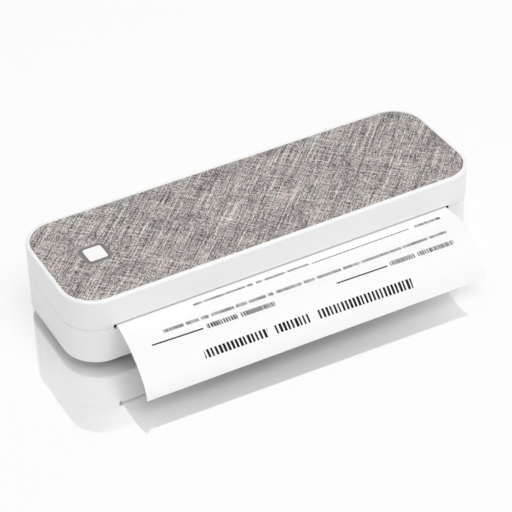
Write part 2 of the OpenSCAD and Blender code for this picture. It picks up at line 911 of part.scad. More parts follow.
module paper_sheet() {
    left = sheet_edge(-half_paper, sheet_reach, 7.7, 2.8, 12.8, sheet_end_height);
    right = sheet_edge(half_paper, sheet_reach + sheet_twist, 13.2, 16.8, 25.8,
                       sheet_end_height + 1.4);
    columns = 8;
    rows = len(left);
    low = [
        for (i = [0 : rows - 1], k = [0 : columns])
            let (t = k / columns,
                 side = (1 - t) * sheet_side(left, i) + t * sheet_side(right, i))
            (1 - t) * left[i] + t * right[i] - paper_thickness / 2 * side / norm(side)
    ];
    high = [
        for (i = [0 : rows - 1], k = [0 : columns])
            let (t = k / columns,
                 side = (1 - t) * sheet_side(left, i) + t * sheet_side(right, i))
            (1 - t) * left[i] + t * right[i] + paper_thickness / 2 * side / norm(side)
    ];
    wide = columns + 1;
    count = rows * wide;
    rim = concat(
        [for (k = [0 : columns]) k],
        [for (i = [1 : rows - 1]) i * wide + columns],
        [for (k = [columns - 1 : -1 : 0]) (rows - 1) * wide + k],
        [for (i = [rows - 2 : -1 : 1]) i * wide]
    );
    faces = concat(
        [for (i = [0 : rows - 2], k = [0 : columns - 1])
            let (a = i * wide + k, b = a + wide)
            each [[a, a + 1, b + 1], [a, b + 1, b],
                  [count + a, count + b + 1, count + a + 1],
                  [count + a, count + b, count + b + 1]]],
        [for (j = [0 : len(rim) - 1])
            let (a = rim[j], b = rim[(j + 1) % len(rim)])
            each [[a, count + a, count + b], [a, count + b, b]]]
    );
    color("white") polyhedron(concat(low, high), faces, convexity = 4);
}

module paper_roll() {
    color("white") along_x(-half_paper, half_paper) translate([roll_y, roll_z]) difference() {
        circle(roll_radius);
        circle(core_radius);
    }
}

module roll_core() {
    color("tan") along_x(-half_paper, half_paper) translate([roll_y, roll_z]) difference() {
        circle(core_radius);
        circle(core_radius - core_wall);
    }
}

// ---------------------------------------------------------------- cover

rear_screws = [
    for (x = [-outer_screw_x, -rear_screw_x, rear_screw_x, outer_screw_x]) [x, rear_screw_y]
];
front_screws = [for (x = chassis_screw_x) [x, front_screw_y]];
liner_screws = concat(rear_screws, front_screws);
board_screws = [
    for (x = [board_inset, board_length - board_inset], y = [board_inset, board_depth - board_inset])
        [board_x + x, board_y + y]
];

module top_cover() {
    color("white") difference() {
        union() {
            difference() {
                rounded_block(casing_length, casing_depth, corner_radius,
                              cover_bottom, casing_height, top_edge_radius, 0);
                rounded_block(inner_length, inner_depth, inner_corner,
                              cover_bottom - 1, ceiling, inner_edge, 0);
                back_bevel(1);
            }
            cover_knuckle_span() knuckle(-knuckle_length / 2, knuckle_length / 2, 1);
            latch_catch();
            for (p = liner_screws) post_down(p, liner_z + liner);
            for (p = board_screws) post_down(p, board_top);
            cover_ribs();
        }
        cover_knuckle_span() {
            knuckle_relief(-hinge_half - knuckle_gap, -knuckle_length / 2);
            knuckle_relief(knuckle_length / 2, hinge_half + knuckle_gap);
            rod_x(-knuckle_length, knuckle_length, hinge_y, hinge_z, hinge_pin_radius + fit);
        }
        // recess for the fabric, and the hole for the button's collar
        rounded_plate(casing_length - 2 * panel_rim, casing_depth - 2 * panel_rim,
                      corner_radius - panel_rim, recess_floor, casing_height + 1);
        translate([button_x, 0, ceiling - 1]) linear_extrude(wall + 2)
            rounded_square(collar_outer + 2 * slack, collar_outer + 2 * slack, button_corner + 1);
        // slot over the paper
        span([-slot_width / 2, -half_depth - 1, cover_bottom - 1],
             [slot_width / 2, -half_depth + wall + 1, parting_height + slot_height]);
        // finger notch at the end away from the button
        translate([half_length + 2, 7, cover_bottom]) rotate([90, 0, 0])
            cylinder(h = 14, r = 3.2);
    }
}

// Ribs that stiffen the top, beside the control board.
module cover_ribs() {
    start = board_x + board_length + 8;
    end = half_length - corner_radius;
    for (x = [start : rib_pitch : end])
        span([x - rib / 2, -half_depth + wall - bite, ceiling - rib_depth],
             [x + rib / 2, half_depth - wall + bite, ceiling + bite]);
}

module post_down(p, z) {
    difference() {
        translate([p[0], p[1], z]) cylinder(h = ceiling - z + bite, r = 2.4);
        translate([p[0], p[1], z - eps]) cylinder(h = 3, r = screw_hole);
    }
}

module fabric_panel() {
    inset = panel_rim + slack;
    hole = bezel_outer + 2 * slack;
    color("darkgray") difference() {
        rounded_plate(casing_length - 2 * inset, casing_depth - 2 * inset,
                      corner_radius - inset, recess_floor, casing_height);
        translate([button_x, 0, recess_floor - eps]) linear_extrude(panel_thickness + 1)
            rounded_square(hole, hole, button_corner + bezel_width);
    }
}

module button_bezel() {
    color("dimgray") translate([button_x, 0, 0]) difference() {
        union() {
            rounded_plate(bezel_outer, bezel_outer, button_corner + bezel_width,
                          recess_floor, casing_height - slack);
            rounded_plate(collar_outer, collar_outer, button_corner + 1,
                          collar_bottom, recess_floor + eps);
        }
        rounded_plate(bezel_inner, bezel_inner, button_corner + bezel_gap,
                      collar_bottom - eps, casing_height + 1);
    }
}

module power_button() {
    flange_top = collar_bottom - slack;
    cap_under = button_top - cap_thickness;
    hollow = button_width - 2 * cap_wall;
    color("white") translate([button_x, 0, 0]) {
        difference() {
            union() {
                rounded_block(button_width, button_width, button_corner,
                              flange_top - button_flange, button_top, 0.4, 0);
                rounded_plate(collar_outer, collar_outer, button_corner,
                              flange_top - button_flange, flange_top);
            }
            rounded_plate(hollow, hollow, button_corner / 2,
                          flange_top - button_flange - eps, cap_under);
        }
        translate([0, 0, plunger_top + fit])
            cylinder(h = cap_under - plunger_top - fit + eps, r = plunger_radius);
    }
}

module control_board() {
    color("seagreen") difference() {
        union() {
            span([board_x, board_y, board_z],
                 [board_x + board_length, board_y + board_depth, board_top]);
            for (c = board_chips)
                translate([board_x + c[0], board_y + c[1], board_top - eps])
                    cube([c[2], c[3], c[4] + eps]);
        }
        for (p = board_screws)
            translate([p[0], p[1], board_z - eps])
                cylinder(h = board_thickness + 2 * eps, r = screw_hole + 0.1);
    }
}

module control_board_screws() {
    color("gray")
        for (p = board_screws)
            translate([p[0], p[1], board_z]) rotate([180, 0, 0]) screw(board_screw_length);
}

module tact_switch() {
    bore = plunger_radius + fit;
    color("black") translate([button_x, 0, board_top]) difference() {
        translate([-switch_width / 2, -switch_width / 2, 0])
            cube([switch_width, switch_width, switch_height]);
        translate([0, 0, 0.4]) cylinder(h = switch_height, r = bore);
    }
}

module switch_plunger() {
    low = board_top + 0.4 + button_travel + slack;
    color("gray") translate([button_x, 0, low])
        cylinder(h = plunger_top - low, r = plunger_radius);
}

module inner_cover() {
    mid_z = channel_roof + liner;
    color("black") difference() {
        union() {
            intersection() {
                rounded_plate(inner_length - 2 * side_gap, inner_depth - 2 * side_gap,
                              inner_corner - side_gap, liner_z, liner_z + liner);
                span([-half_length, channel_back - liner, 0],
                     [half_length, liner_back, casing_height]);
            }
            along_x(-cheek_outer, cheek_outer) {
                translate([channel_front, channel_roof])
                    square([channel_back - channel_front, liner]);
                translate([channel_front, channel_bottom])
                    square([liner, mid_z - channel_bottom]);
                translate([channel_back - 2 * guide_radius, guide_z])
                    square([2 * guide_radius, mid_z - guide_z]);
                translate([guide_y, guide_z]) circle(guide_radius);
            }
            both_ends() along_x(cheek_inner, cheek_outer)
                translate([channel_front, channel_bottom])
                    square([channel_back - channel_front, mid_z - channel_bottom]);
            guide_ribs();
            for (x = spring_x)
                translate([x, spring_y, channel_roof - 1.5])
                    cylinder(h = 1.5 + bite, r = spring_radius - spring_wire - slack);
        }
        // room for the latch springs
        both_ends()
            span([latch_x - latch_room, latch_y - latch_width / 2 - latch_room, liner_z - 1],
                 [half_length, latch_y + latch_width / 2 + latch_room, mid_z]);
        // windows that the head's tabs ride in
        both_ends() along_x(cheek_inner - 1, cheek_outer + 1)
            translate([platen_y - tab_width / 2 - slack, tab_z - fit])
                square([tab_width + 2 * slack, tab_height + head_travel + 0.2]);
        for (p = liner_screws)
            translate([p[0], p[1], liner_z - eps])
                cylinder(h = liner + 2 * eps, r = screw_hole + 0.1);
    }
}

// Ribs under the inner cover that lead the web to the nip.
module guide_ribs() {
    last = floor((half_paper - 10) / guide_rib_pitch);
    for (k = [-last : last])
        span([k * guide_rib_pitch - guide_rib / 2, channel_back - guide_radius,
              liner_z - guide_rib_depth],
             [k * guide_rib_pitch + guide_rib / 2, roll_y - roll_radius - 2, liner_z + bite]);
}

module inner_cover_screws() {
    color("gray")
        for (p = liner_screws)
            translate([p[0], p[1], liner_z]) rotate([180, 0, 0]) screw(liner_screw_length);
}

// ---------------------------------------------------------------- print head

// One round wire wound as a helix that stands on the XY plane.
module coil_spring(radius, height, wire, turns) {
    sides = 6;
    per_turn = 12;
    rings = turns * per_turn;
    centre = radius - wire / 2;
    rise = height - wire;
    lean = atan2(rise / turns, 2 * PI * centre);
    points = [
        for (i = [0 : rings])
            let (a = i * 360 / per_turn, z = wire / 2 + rise * i / rings)
            for (s = [0 : sides - 1])
                let (c = wire / 2 * cos(s * 360 / sides), u = wire / 2 * sin(s * 360 / sides))
                [(centre + c) * cos(a) + u * sin(lean) * sin(a),
                 (centre + c) * sin(a) - u * sin(lean) * cos(a),
                 z + u * cos(lean)]
    ];
    walls = [
        for (i = [0 : rings - 1], s = [0 : sides - 1])
            let (n = (s + 1) % sides, a = i * sides, b = a + sides)
            each [[a + s, b + s, b + n], [a + s, b + n, a + n]]
    ];
    start = [for (s = [1 : sides - 2]) [0, s, s + 1]];
    last = rings * sides;
    finish = [for (s = [1 : sides - 2]) [last, last + s + 1, last + s]];
    polyhedron(points, concat(walls, start, finish), convexity = 6);
}

module head_springs() {
    color("silver")
        for (x = spring_x)
            translate([x, spring_y, sink_top + fit])
                coil_spring(spring_radius, spring_height - 2 * fit, spring_wire, spring_turns);
}

module print_head() {
    color("ivory") {
        span([-head_end, head_front, head_bottom], [head_end, head_back, sink_bottom]);
        span([-connector_half, head_back - 2.2, sink_bottom - eps],
             [connector_half, head_back, sink_bottom + 2.4]);
    }
}

module heat_sink() {
    depth = head_depth - 2.6;
    fin = 1.5;
    base = 2.2;
    color("lightgray") {
        along_x(-head_end, head_end) {
            translate([head_front, sink_bottom]) square([depth, base]);
            for (y = [0, (depth - fin) / 2, depth - fin])
                translate([head_front + y, sink_bottom + base - eps])
                    square([fin, sink_height - base + eps]);
        }
        both_ends()
            span([head_end - bite, platen_y - tab_width / 2, tab_z],
                 [cheek_outer, platen_y + tab_width / 2, tab_z + tab_height]);
    }
}

// ---------------------------------------------------------------- output

base_shell();
rubber_feet();
chassis();
chassis_screws();
platen_bushes();
stepper_motor();
motor_screws();
idler_pin();
battery_cells();
charge_board();
charge_board_screws();
usb_socket();
paper_sensor();
latch_springs();
latch_screws();
hinge_pins();
paper_sheet();
top_cover();
fabric_panel();
button_bezel();
inner_cover();
inner_cover_screws();
control_board();
control_board_screws();
tact_switch();
head_springs();
print_head();
heat_sink();
platen_shaft();
platen_rubber();
platen_gear();
idler_gear();
motor_shaft();
motor_pinion();
paper_roll();
roll_core();
power_button();
switch_plunger();
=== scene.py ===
"""Looks of a portable thermal printer for A4 paper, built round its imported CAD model.

Metres, in the frame of the CAD: the origin is the centre of the casing's underside, +X runs
along the casing away from the button, -Y is the side where the paper comes out, +Z is up.
"""

import logging
import math
from abc import ABC, abstractmethod
from dataclasses import dataclass, field
from enum import Enum
from typing import Any, Optional, Sequence

import bmesh
import bpy
from mathutils import Matrix, Vector, geometry


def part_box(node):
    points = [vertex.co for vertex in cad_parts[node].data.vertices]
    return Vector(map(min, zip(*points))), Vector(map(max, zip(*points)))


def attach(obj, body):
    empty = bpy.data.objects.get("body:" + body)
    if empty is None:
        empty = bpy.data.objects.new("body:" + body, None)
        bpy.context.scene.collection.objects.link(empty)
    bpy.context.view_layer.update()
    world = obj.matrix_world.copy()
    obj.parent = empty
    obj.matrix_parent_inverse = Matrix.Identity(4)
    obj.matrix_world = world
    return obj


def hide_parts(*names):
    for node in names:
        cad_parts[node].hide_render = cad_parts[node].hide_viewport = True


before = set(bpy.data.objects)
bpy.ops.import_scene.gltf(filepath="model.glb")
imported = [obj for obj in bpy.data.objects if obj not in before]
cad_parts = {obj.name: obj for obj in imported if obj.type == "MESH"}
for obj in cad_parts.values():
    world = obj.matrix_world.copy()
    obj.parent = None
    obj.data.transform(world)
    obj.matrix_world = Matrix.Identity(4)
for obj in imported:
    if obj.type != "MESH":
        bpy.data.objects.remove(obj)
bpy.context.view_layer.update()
NODES: dict[str, bpy.types.Object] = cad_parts
MM = 0.001
LOG = logging.getLogger("printer")

Colour = tuple[float, float, float]
Point = tuple[float, float, float]
Socket = bpy.types.NodeSocket


class Body(Enum):
    """The moving bodies that new pieces ride on."""

    ROOT = "root"
    COVER = "cover"


class Slot(Enum):
    """Names of the record's material slots; no piece in this script takes its finish from them."""

    FABRIC = "fabric"
    PAPER = "paper"


class Grain(Enum):
    """The direction in which a metal was rolled, turned or drawn."""

    ALONG_X = (4.0, 900.0, 900.0)
    ALONG_Z = (900.0, 900.0, 6.0)
    TURNED = (2500.0, 40.0, 40.0)


class Print(Enum):
    """What the head has left on the sheet, as the sheet's material numbers."""

    BARE = 0
    RULE = 1
    SMALL = 2
    MEDIUM = 3
    LARGE = 4


# ---------------------------------------------------------------- node helpers


class Graph:
    """Short calls that add and join the nodes of one tree."""

    def __init__(self, tree: bpy.types.NodeTree) -> None:
        """Keeps the tree that the nodes go into."""
        self.tree = tree

    def node(
        self,
        kind: str,
        settings: Optional[dict[str, Any]] = None,
        inputs: Optional[dict[Any, Any]] = None,
    ) -> bpy.types.Node:
        """Adds a node.

        Args:
            kind: Blender's name for the node, without the ShaderNode in front.
            settings: Values of the node's own properties.
            inputs: A socket to join or a value to set, by input name or number.

        Returns:
            The new node.
        """
        made = self.tree.nodes.new("ShaderNode" + kind)
        for name, value in (settings or {}).items():
            setattr(made, name, value)
        for key, value in (inputs or {}).items():
            self.feed(made.inputs[key], value)
        return made

    def feed(self, socket: Socket, value: Any) -> None:
        """Joins a socket to the input, or sets the input's own value."""
        if isinstance(value, bpy.types.NodeSocket):
            self.tree.links.new(value, socket)
        elif isinstance(value, (tuple, list)) and socket.type == "RGBA":
            socket.default_value = (*value[:3], 1.0)
        else:
            socket.default_value = value

    def math(self, operation: str, a: Any, b: Any = 0.0, clamp: bool = False) -> Socket:
        """Returns the result of one sum on two values."""
        settings = {"operation": operation, "use_clamp": clamp}
        return self.node("Math", settings, {0: a, 1: b}).outputs[0]

    def remap(self, value: Any, low: float, high: float, start: float, end: float) -> Socket:
        """Returns the value moved from low..high to start..end, and held there."""
        return self.node("MapRange", {}, {0: value, 1: low, 2: high, 3: start, 4: end}).outputs[0]

    def mix(self, share: Any, a: Any, b: Any, how: str = "MIX") -> Socket:
        """Returns colour a with that share of colour b."""
        made = self.node("Mix", {"data_type": "RGBA", "blend_type": how})
        for number, value in ((0, share), (6, a), (7, b)):
            self.feed(made.inputs[number], value)
        return made.outputs[2]

    def blend(self, share: Any, a: Any, b: Any) -> Socket:
        """Returns value a where the share is 0 and value b where it is 1."""
        return self.node("Mix", {"data_type": "FLOAT"}, {0: share, 2: a, 3: b}).outputs[0]

    def tone(self, colour: Any, value: Socket) -> Socket:
        """Returns the colour made lighter or darker by the value, which is 1 for no change."""
        grey = self.node("CombineColor", {}, {0: value, 1: value, 2: value}).outputs[0]
        return self.mix(1.0, colour, grey, "MULTIPLY")

    def noise(self, place: Socket, scale: Any, detail: float = 2.0, rough: float = 0.5) -> Socket:
        """Returns even noise from 0 to 1."""
        inputs = {"Vector": place, "Scale": scale, "Detail": detail, "Roughness": rough}
        return self.node("TexNoise", {}, inputs).outputs[0]

    def stretched(self, place: Socket, scale: Any, turn: Point = (0.0, 0.0, 0.0)) -> Socket:
        """Returns the place after a turn and a stretch."""
        turned = place
        if any(turn):
            turned = self.node("Mapping", {}, {"Vector": place, "Rotation": turn}).outputs[0]
        inputs: dict[Any, Any] = {0: turned, 1: scale}
        return self.node("VectorMath", {"operation": "MULTIPLY"}, inputs).outputs[0]

    def split(self, place: Socket) -> tuple[Socket, Socket, Socket]:
        """Returns the x, y and z of a place."""
        parts = self.node("SeparateXYZ", {}, {0: place}).outputs
        return parts[0], parts[1], parts[2]

    def reach(self, place: Socket, centre_x: float, half: tuple[float, float]) -> Socket:
        """Returns how far a place lies outside a rectangle of those half sizes on the X axis."""
        x, y, _ = self.split(place)
        squares = []
        for value, flat in zip((self.math("SUBTRACT", x, centre_x), y), half):
            past = self.math("SUBTRACT", self.math("ABSOLUTE", value), flat)
            past = self.math("MAXIMUM", past, 0.0)
            squares.append(self.math("MULTIPLY", past, past))
        return self.math("SQRT", self.math("ADD", squares[0], squares[1]))

    def bump(self, height: Socket, distance: float, normal: Optional[Socket] = None) -> Socket:
        """Returns the normal of a surface raised by the height times the distance."""
        inputs: dict[Any, Any] = {"Height": height, "Distance": distance}
        if normal is not None:
            inputs["Normal"] = normal
        return self.node("Bump", {}, inputs).outputs[0]


class Effect(ABC):
    """A surface effect shared by several finishes, held in one shader node group."""

    name: str
    inputs: tuple[tuple[str, str, Any], ...]
    outputs: tuple[str, ...]

    @abstractmethod
    def wire(self, graph: Graph, given: dict[str, Socket]) -> dict[str, Socket]:
        """Builds the inside of the group and returns what each output reads."""

    def group(self) -> bpy.types.NodeTree:
        """Returns the group, which is built at its first use."""
        known = bpy.data.node_groups.get(self.name)
        if known:
            return known
        tree = bpy.data.node_groups.new(self.name, "ShaderNodeTree")
        for name, kind, value in self.inputs:
            made = tree.interface.new_socket(name, in_out="INPUT", socket_type=kind)
            if value is not None:
                made.default_value = value
        for name in self.outputs:
            tree.interface.new_socket(name, in_out="OUTPUT", socket_type="NodeSocketFloat")
        start, end = tree.nodes.new("NodeGroupInput"), tree.nodes.new("NodeGroupOutput")
        given = {name: start.outputs[name] for name, _, _ in self.inputs}
        for name, value in self.wire(Graph(tree), given).items():
            tree.links.new(value, end.inputs[name])
        return tree

    def place(self, graph: Graph, **values: Any) -> dict[str, Socket]:
        """Puts the group in a material.

        Args:
            graph: The material's tree.
            **values: Each input's value or socket, by its name with _ for a space.

        Returns:
            The group's outputs by name.
        """
        made = graph.node("Group", {"node_tree": self.group()})
        for name, value in values.items():
            graph.feed(made.inputs[name.replace("_", " ")], value)
        return {name: made.outputs[name] for name in self.outputs}


VECTOR, FLOAT = "NodeSocketVector", "NodeSocketFloat"


class MouldedSkin(Effect):
    """Fine spark-eroded grain of a mould, with the faint clouds of the flow behind it."""

    name = "moulded_skin"
    inputs = (("Place", VECTOR, None), ("Grain Size", FLOAT, 0.0003), ("Clouds", FLOAT, 0.02))
    outputs = ("Height", "Tone", "Gloss")

    def wire(self, graph: Graph, given: dict[str, Socket]) -> dict[str, Socket]:
        """Builds two sizes of grain and one slow cloud."""
        scale = graph.math("DIVIDE", 1.0, given["Grain Size"])
        fine = graph.noise(given["Place"], scale, 3.0, 0.6)
        cloud = graph.noise(given["Place"], 38.0, 3.0, 0.55)
        swing = graph.math("SUBTRACT", graph.remap(cloud, 0.3, 0.7, 0.0, 1.0), 0.5)
        tone = graph.math("ADD", 1.0, graph.math("MULTIPLY", swing, given["Clouds"]))
        gloss = graph.math("MULTIPLY", graph.math("SUBTRACT", fine, 0.5), 0.25)
        return {"Height": fine, "Tone": tone, "Gloss": graph.math("ADD", gloss, swing)}


class HandlingMarks(Effect):
    """Smudges and short hairline rubs that change the gloss and barely the colour."""

    name = "handling_marks"
    inputs = (("Place", VECTOR, None), ("Amount", FLOAT, 0.5))
    outputs = ("Mask",)

    def wire(self, graph: Graph, given: dict[str, Socket]) -> dict[str, Socket]:
        """Builds patches of smudge crossed by fine rubs."""
        patch = graph.remap(graph.noise(given["Place"], 55.0, 4.0, 0.6), 0.52, 0.72, 0.0, 1.0)
        rubbed = graph.stretched(given["Place"], (60.0, 1400.0, 1400.0), (0.2, 0.1, 0.6))
        rub = graph.remap(graph.noise(rubbed, 1.0, 1.0), 0.66, 0.74, 0.0, 0.6)
        both = graph.math("MAXIMUM", patch, rub)
        return {"Mask": graph.math("MULTIPLY", both, given["Amount"])}


class DrawnLines(Effect):
    """Fine parallel lines that rolling, drawing or turning leaves on a metal."""

    name = "drawn_lines"
    inputs = (("Place", VECTOR, None), ("Stretch", VECTOR, None))
    outputs = ("Height", "Tone", "Gloss")

    def wire(self, graph: Graph, given: dict[str, Socket]) -> dict[str, Socket]:
        """Builds the lines and the cloudy colour between them."""
        lines = graph.noise(graph.stretched(given["Place"], given["Stretch"]), 1.0, 3.0, 0.65)
        cloud = graph.noise(given["Place"], 90.0, 3.0)
        mixed = graph.math("ADD", graph.math("MULTIPLY", lines, 0.6),
                           graph.math("MULTIPLY", cloud, 0.4))
        tone = graph.remap(mixed, 0.3, 0.7, 0.86, 1.1)
        return {"Height": lines, "Tone": tone, "Gloss": graph.math("SUBTRACT", lines, 0.5)}


class LinenWeave(Effect):
    """Plain weave of two sets of uneven yarns, where each crossing shows the yarn on top."""

    name = "linen_weave"
    inputs = (("Place", VECTOR, None), ("Warp Pitch", FLOAT, 0.0006), ("Weft Pitch", FLOAT, 0.0007))
    outputs = ("Height", "Shade", "Slub")

    def wire(self, graph: Graph, given: dict[str, Socket]) -> dict[str, Socket]:
        """Builds the warp along the place's X and the weft along its Y."""
        along, across, _ = graph.split(given["Place"])
        wander = graph.math("MULTIPLY", graph.noise(given["Place"], 14.0, 1.0), 0.0012)
        warp = self.yarns(graph, along, graph.math("ADD", across, wander),
                          given["Warp Pitch"], 0.03)
        weft = self.yarns(graph, across, graph.math("ADD", along, wander),
                          given["Weft Pitch"], 0.02)
        both = graph.math("ADD", warp["row"], weft["row"])
        over = graph.math("GREATER_THAN", graph.math("FRACT", graph.math("MULTIPLY", both, 0.5)), 0.25)
        cell = graph.node("CombineXYZ", {}, {0: warp["row"], 1: weft["row"]}).outputs[0]
        speck = graph.node("TexWhiteNoise", {}, {"Vector": cell}).outputs["Value"]
        shown = graph.remap(over, 0.0, 1.0, 0.53, 0.73)
        shade = graph.remap(graph.blend(shown, weft["shade"], warp["shade"]), 0.3, 0.7, 0.0, 1.0)
        shade = graph.blend(0.53, shade, speck)
        slub = graph.math("SUBTRACT", graph.remap(warp["slub"], 0.6, 0.66, 0.0, 1.0),
                          graph.remap(warp["slub"], 0.4, 0.32, 0.0, 0.7))
        slub = graph.math("ADD", slub, graph.remap(weft["slub"], 0.6, 0.66, 0.0, 1.0))
        height = graph.blend(over, weft["top"], warp["top"])
        return {"Height": height, "Shade": shade, "Slub": slub}

    def yarns(
        self, graph: Graph, along: Socket, across: Socket, pitch: Socket, length: float
    ) -> dict[str, Socket]:
        """Builds one set of yarns.

        Args:
            graph: The group's tree.
            along: Distance along the yarns.
            across: Distance across them.
            pitch: Distance from yarn to yarn.
            length: How far one shade reaches along a yarn.

        Returns:
            The yarn's number, its round top, its shade here, and its long thick places.
        """
        place = graph.math("DIVIDE", across, pitch)
        row = graph.math("FLOOR", place)
        top = graph.math("SINE", graph.math("MULTIPLY", graph.math("FRACT", place), math.pi))
        seed = graph.math("MULTIPLY", row, 3.71)
        near = graph.node("CombineXYZ", {}, {
            0: graph.math("DIVIDE", along, length), 1: seed, 2: 5.0}).outputs[0]
        far = graph.node("CombineXYZ", {}, {
            0: graph.math("DIVIDE", along, 0.8 * length), 1: seed, 2: 40.0}).outputs[0]
        return {"row": row, "top": top, "shade": graph.noise(near, 1.0, 1.0),
                "slub": graph.noise(far, 1.0, 1.0)}


class PaperFibres(Effect):
    """The cloudy look-through and the fine tooth of coated paper or board."""

    name = "paper_fibres"
    inputs = (("Place", VECTOR, None), ("Cloud Depth", FLOAT, 0.02))
    outputs = ("Height", "Tone")

    def wire(self, graph: Graph, given: dict[str, Socket]) -> dict[str, Socket]:
        """Builds the tooth and the clouds."""
        tooth = graph.noise(given["Place"], 4200.0, 3.0, 0.7)
        cloud = graph.noise(given["Place"], 320.0, 4.0, 0.6)
        swing = graph.math("MULTIPLY", graph.math("SUBTRACT", cloud, 0.5), given["Cloud Depth"])
        return {"Height": tooth, "Tone": graph.math("ADD", 1.0, swing)}


SKIN, MARKS, LINES, WEAVE, FIBRES = (
    MouldedSkin(), HandlingMarks(), DrawnLines(), LinenWeave(), PaperFibres())


# ---------------------------------------------------------------- finishes


@dataclass(frozen=True)
class Finish(ABC):
    """What a surface is made of and how it was made."""

    name: str
    colour: Colour
    roughness: float = 0.5

    def material(self) -> bpy.types.Material:
        """Returns the material, which is built at its first use."""
        known = bpy.data.materials.get(self.name)
        if known:
            return known
        made = bpy.data.materials.new(self.name)
        made.use_nodes = True
        made.diffuse_color = (*self.colour, 1.0)
        tree = made.node_tree
        tree.nodes.clear()
        graph = Graph(tree)
        shader = graph.node("BsdfPrincipled", {}, {
            "Base Color": self.colour, "Roughness": self.roughness})
        end = graph.node("OutputMaterial")
        tree.links.new(shader.outputs[0], end.inputs["Surface"])
        place = graph.node("TexCoord").outputs["Object"]
        self.wire(graph, shader, place)
        return made

    @abstractmethod
    def wire(self, graph: Graph, shader: bpy.types.Node, place: Socket) -> None:
        """Joins the finish's patterns to the shader."""

    def put_on(self, *names: str) -> None:
        """Gives the finish to CAD nodes by name."""
        for name in names:
            NODES[name].data.materials.clear()
            NODES[name].data.materials.append(self.material())
            LOG.info("%s: %s", name, self.name)


def soft_edge(graph: Graph, radius: float) -> Socket:
    """Returns the normal of a surface whose sharp edges are broken by that radius."""
    return graph.node("Bevel", {"samples": 4}, {"Radius": radius}).outputs[0]


@dataclass(frozen=True)
class Moulded(Finish):
    """Injection-moulded plastic or rubber."""

    grain_size: float = 0.0003
    grain_depth: float = 0.000004
    clouds: float = 0.02
    specular: float = 0.5
    coat: float = 0.0
    marks: float = 0.3
    edge: float = 0.00015

    def wire(self, graph: Graph, shader: bpy.types.Node, place: Socket) -> None:
        """Joins the mould's grain, the flow's clouds and the handling marks."""
        skin = SKIN.place(graph, Place=place, Grain_Size=self.grain_size, Clouds=self.clouds)
        marks = MARKS.place(graph, Place=place, Amount=self.marks)["Mask"]
        colour = self.tinted(graph, place, graph.tone(self.colour, skin["Tone"]))
        gloss = graph.math("MULTIPLY", skin["Gloss"], 0.12)
        rough = graph.math("ADD", self.roughness, gloss)
        rough = graph.math("ADD", rough, graph.math("MULTIPLY", marks, 0.12), True)
        normal = graph.bump(skin["Height"], self.grain_depth, soft_edge(graph, self.edge))
        for name, value in (("Base Color", colour), ("Roughness", rough), ("Normal", normal)):
            graph.feed(shader.inputs[name], value)
        shader.inputs["Specular IOR Level"].default_value = self.specular
        shader.inputs["Coat Weight"].default_value = self.coat
        shader.inputs["Coat Roughness"].default_value = 0.12

    def tinted(self, graph: Graph, place: Socket, colour: Socket) -> Socket:
        """Returns the colour as it is; a finish with more parts changes it by place."""
        return colour


@dataclass(frozen=True)
class ShellWithPaintedSlotShade(Moulded):
    """Casing plastic with painted shade: it is black inside the paper slot, where shade falls."""

    slot_half: float = 0.1068
    slot_y: tuple[float, float] = (-0.0396, -0.034)
    slot_z: tuple[float, float] = (0.0207, 0.024)

    def tinted(self, graph: Graph, place: Socket, colour: Socket) -> Socket:
        """Returns black painted shade inside the slot and the plain colour elsewhere."""
        x, y, z = graph.split(place)
        inside = graph.math("LESS_THAN", graph.math("ABSOLUTE", x), self.slot_half)
        for value, (low, high) in ((y, self.slot_y), (z, self.slot_z)):
            inside = graph.math("MULTIPLY", inside, graph.math("GREATER_THAN", value, low))
            inside = graph.math("MULTIPLY", inside, graph.math("LESS_THAN", value, high))
        # painted shade: the inside of the slot is coloured near black
        return graph.mix(inside, colour, (0.012, 0.012, 0.012))


@dataclass(frozen=True)
class RingPlastic(Moulded):
    """Grey plastic of the button's ring, with the cloth's fibres over its outer edge."""

    centre_x: float = -0.0973
    flat: float = 0.0044
    fringe: tuple[float, float] = (0.0025, 0.0033)
    fibres: Colour = (0.33, 0.3, 0.287)

    def tinted(self, graph: Graph, place: Socket, colour: Socket) -> Socket:
        """Returns the plain colour inside, and more and more of the fibres' outside."""
        reach = graph.reach(place, self.centre_x, (self.flat, self.flat))
        share = graph.remap(reach, self.fringe[0], self.fringe[1], 0.0, 1.0)
        return graph.mix(share, colour, self.fibres)


@dataclass(frozen=True)
class CircuitBoard(Moulded):
    """Glass-fibre board with solder mask over its tracks, pads, and black parts on top."""

    top: float = 0.0
    parts_top: float = 1.0

    def tinted(self, graph: Graph, place: Socket, colour: Socket) -> Socket:
        """Returns green mask with raised tracks and tinned pads, and black above the board."""
        x, y, z = graph.split(place)
        flat = graph.node("CombineXYZ", {}, {0: x, 1: y}).outputs[0]
        lanes = graph.node("TexBrick", {"offset": 0.37, "squash": 1.6, "squash_frequency": 3}, {
            "Vector": flat, "Color1": (0.02, 0.02, 0.02), "Color2": (0.5, 0.5, 0.5),
            "Mortar": (1.0, 1.0, 1.0), "Scale": 260.0, "Mortar Size": 0.045,
            "Brick Width": 1.9, "Row Height": 0.36}).outputs[0]
        track = graph.remap(graph.node("RGBToBW", {}, {0: lanes}).outputs[0], 0.7, 0.9, 0.0, 1.0)
        masked = graph.mix(graph.math("MULTIPLY", track, 0.55), colour, (0.09, 0.42, 0.2))
        cells = graph.node("TexVoronoi", {"feature": "F1"}, {"Vector": flat, "Scale": 520.0,
                                                            "Randomness": 0.35})
        spot = graph.math("LESS_THAN", cells.outputs["Distance"], 0.22)
        chosen = graph.math("GREATER_THAN", graph.noise(flat, 130.0, 1.0), 0.55)
        pads = graph.math("MULTIPLY", spot, chosen)
        masked = graph.mix(pads, masked, (0.72, 0.7, 0.62))
        above = graph.math("GREATER_THAN", z, self.top)
        below_parts = graph.math("LESS_THAN", z, self.parts_top)
        both = graph.math("MULTIPLY", above, below_parts)
        return graph.mix(both, masked, (0.03, 0.03, 0.032))


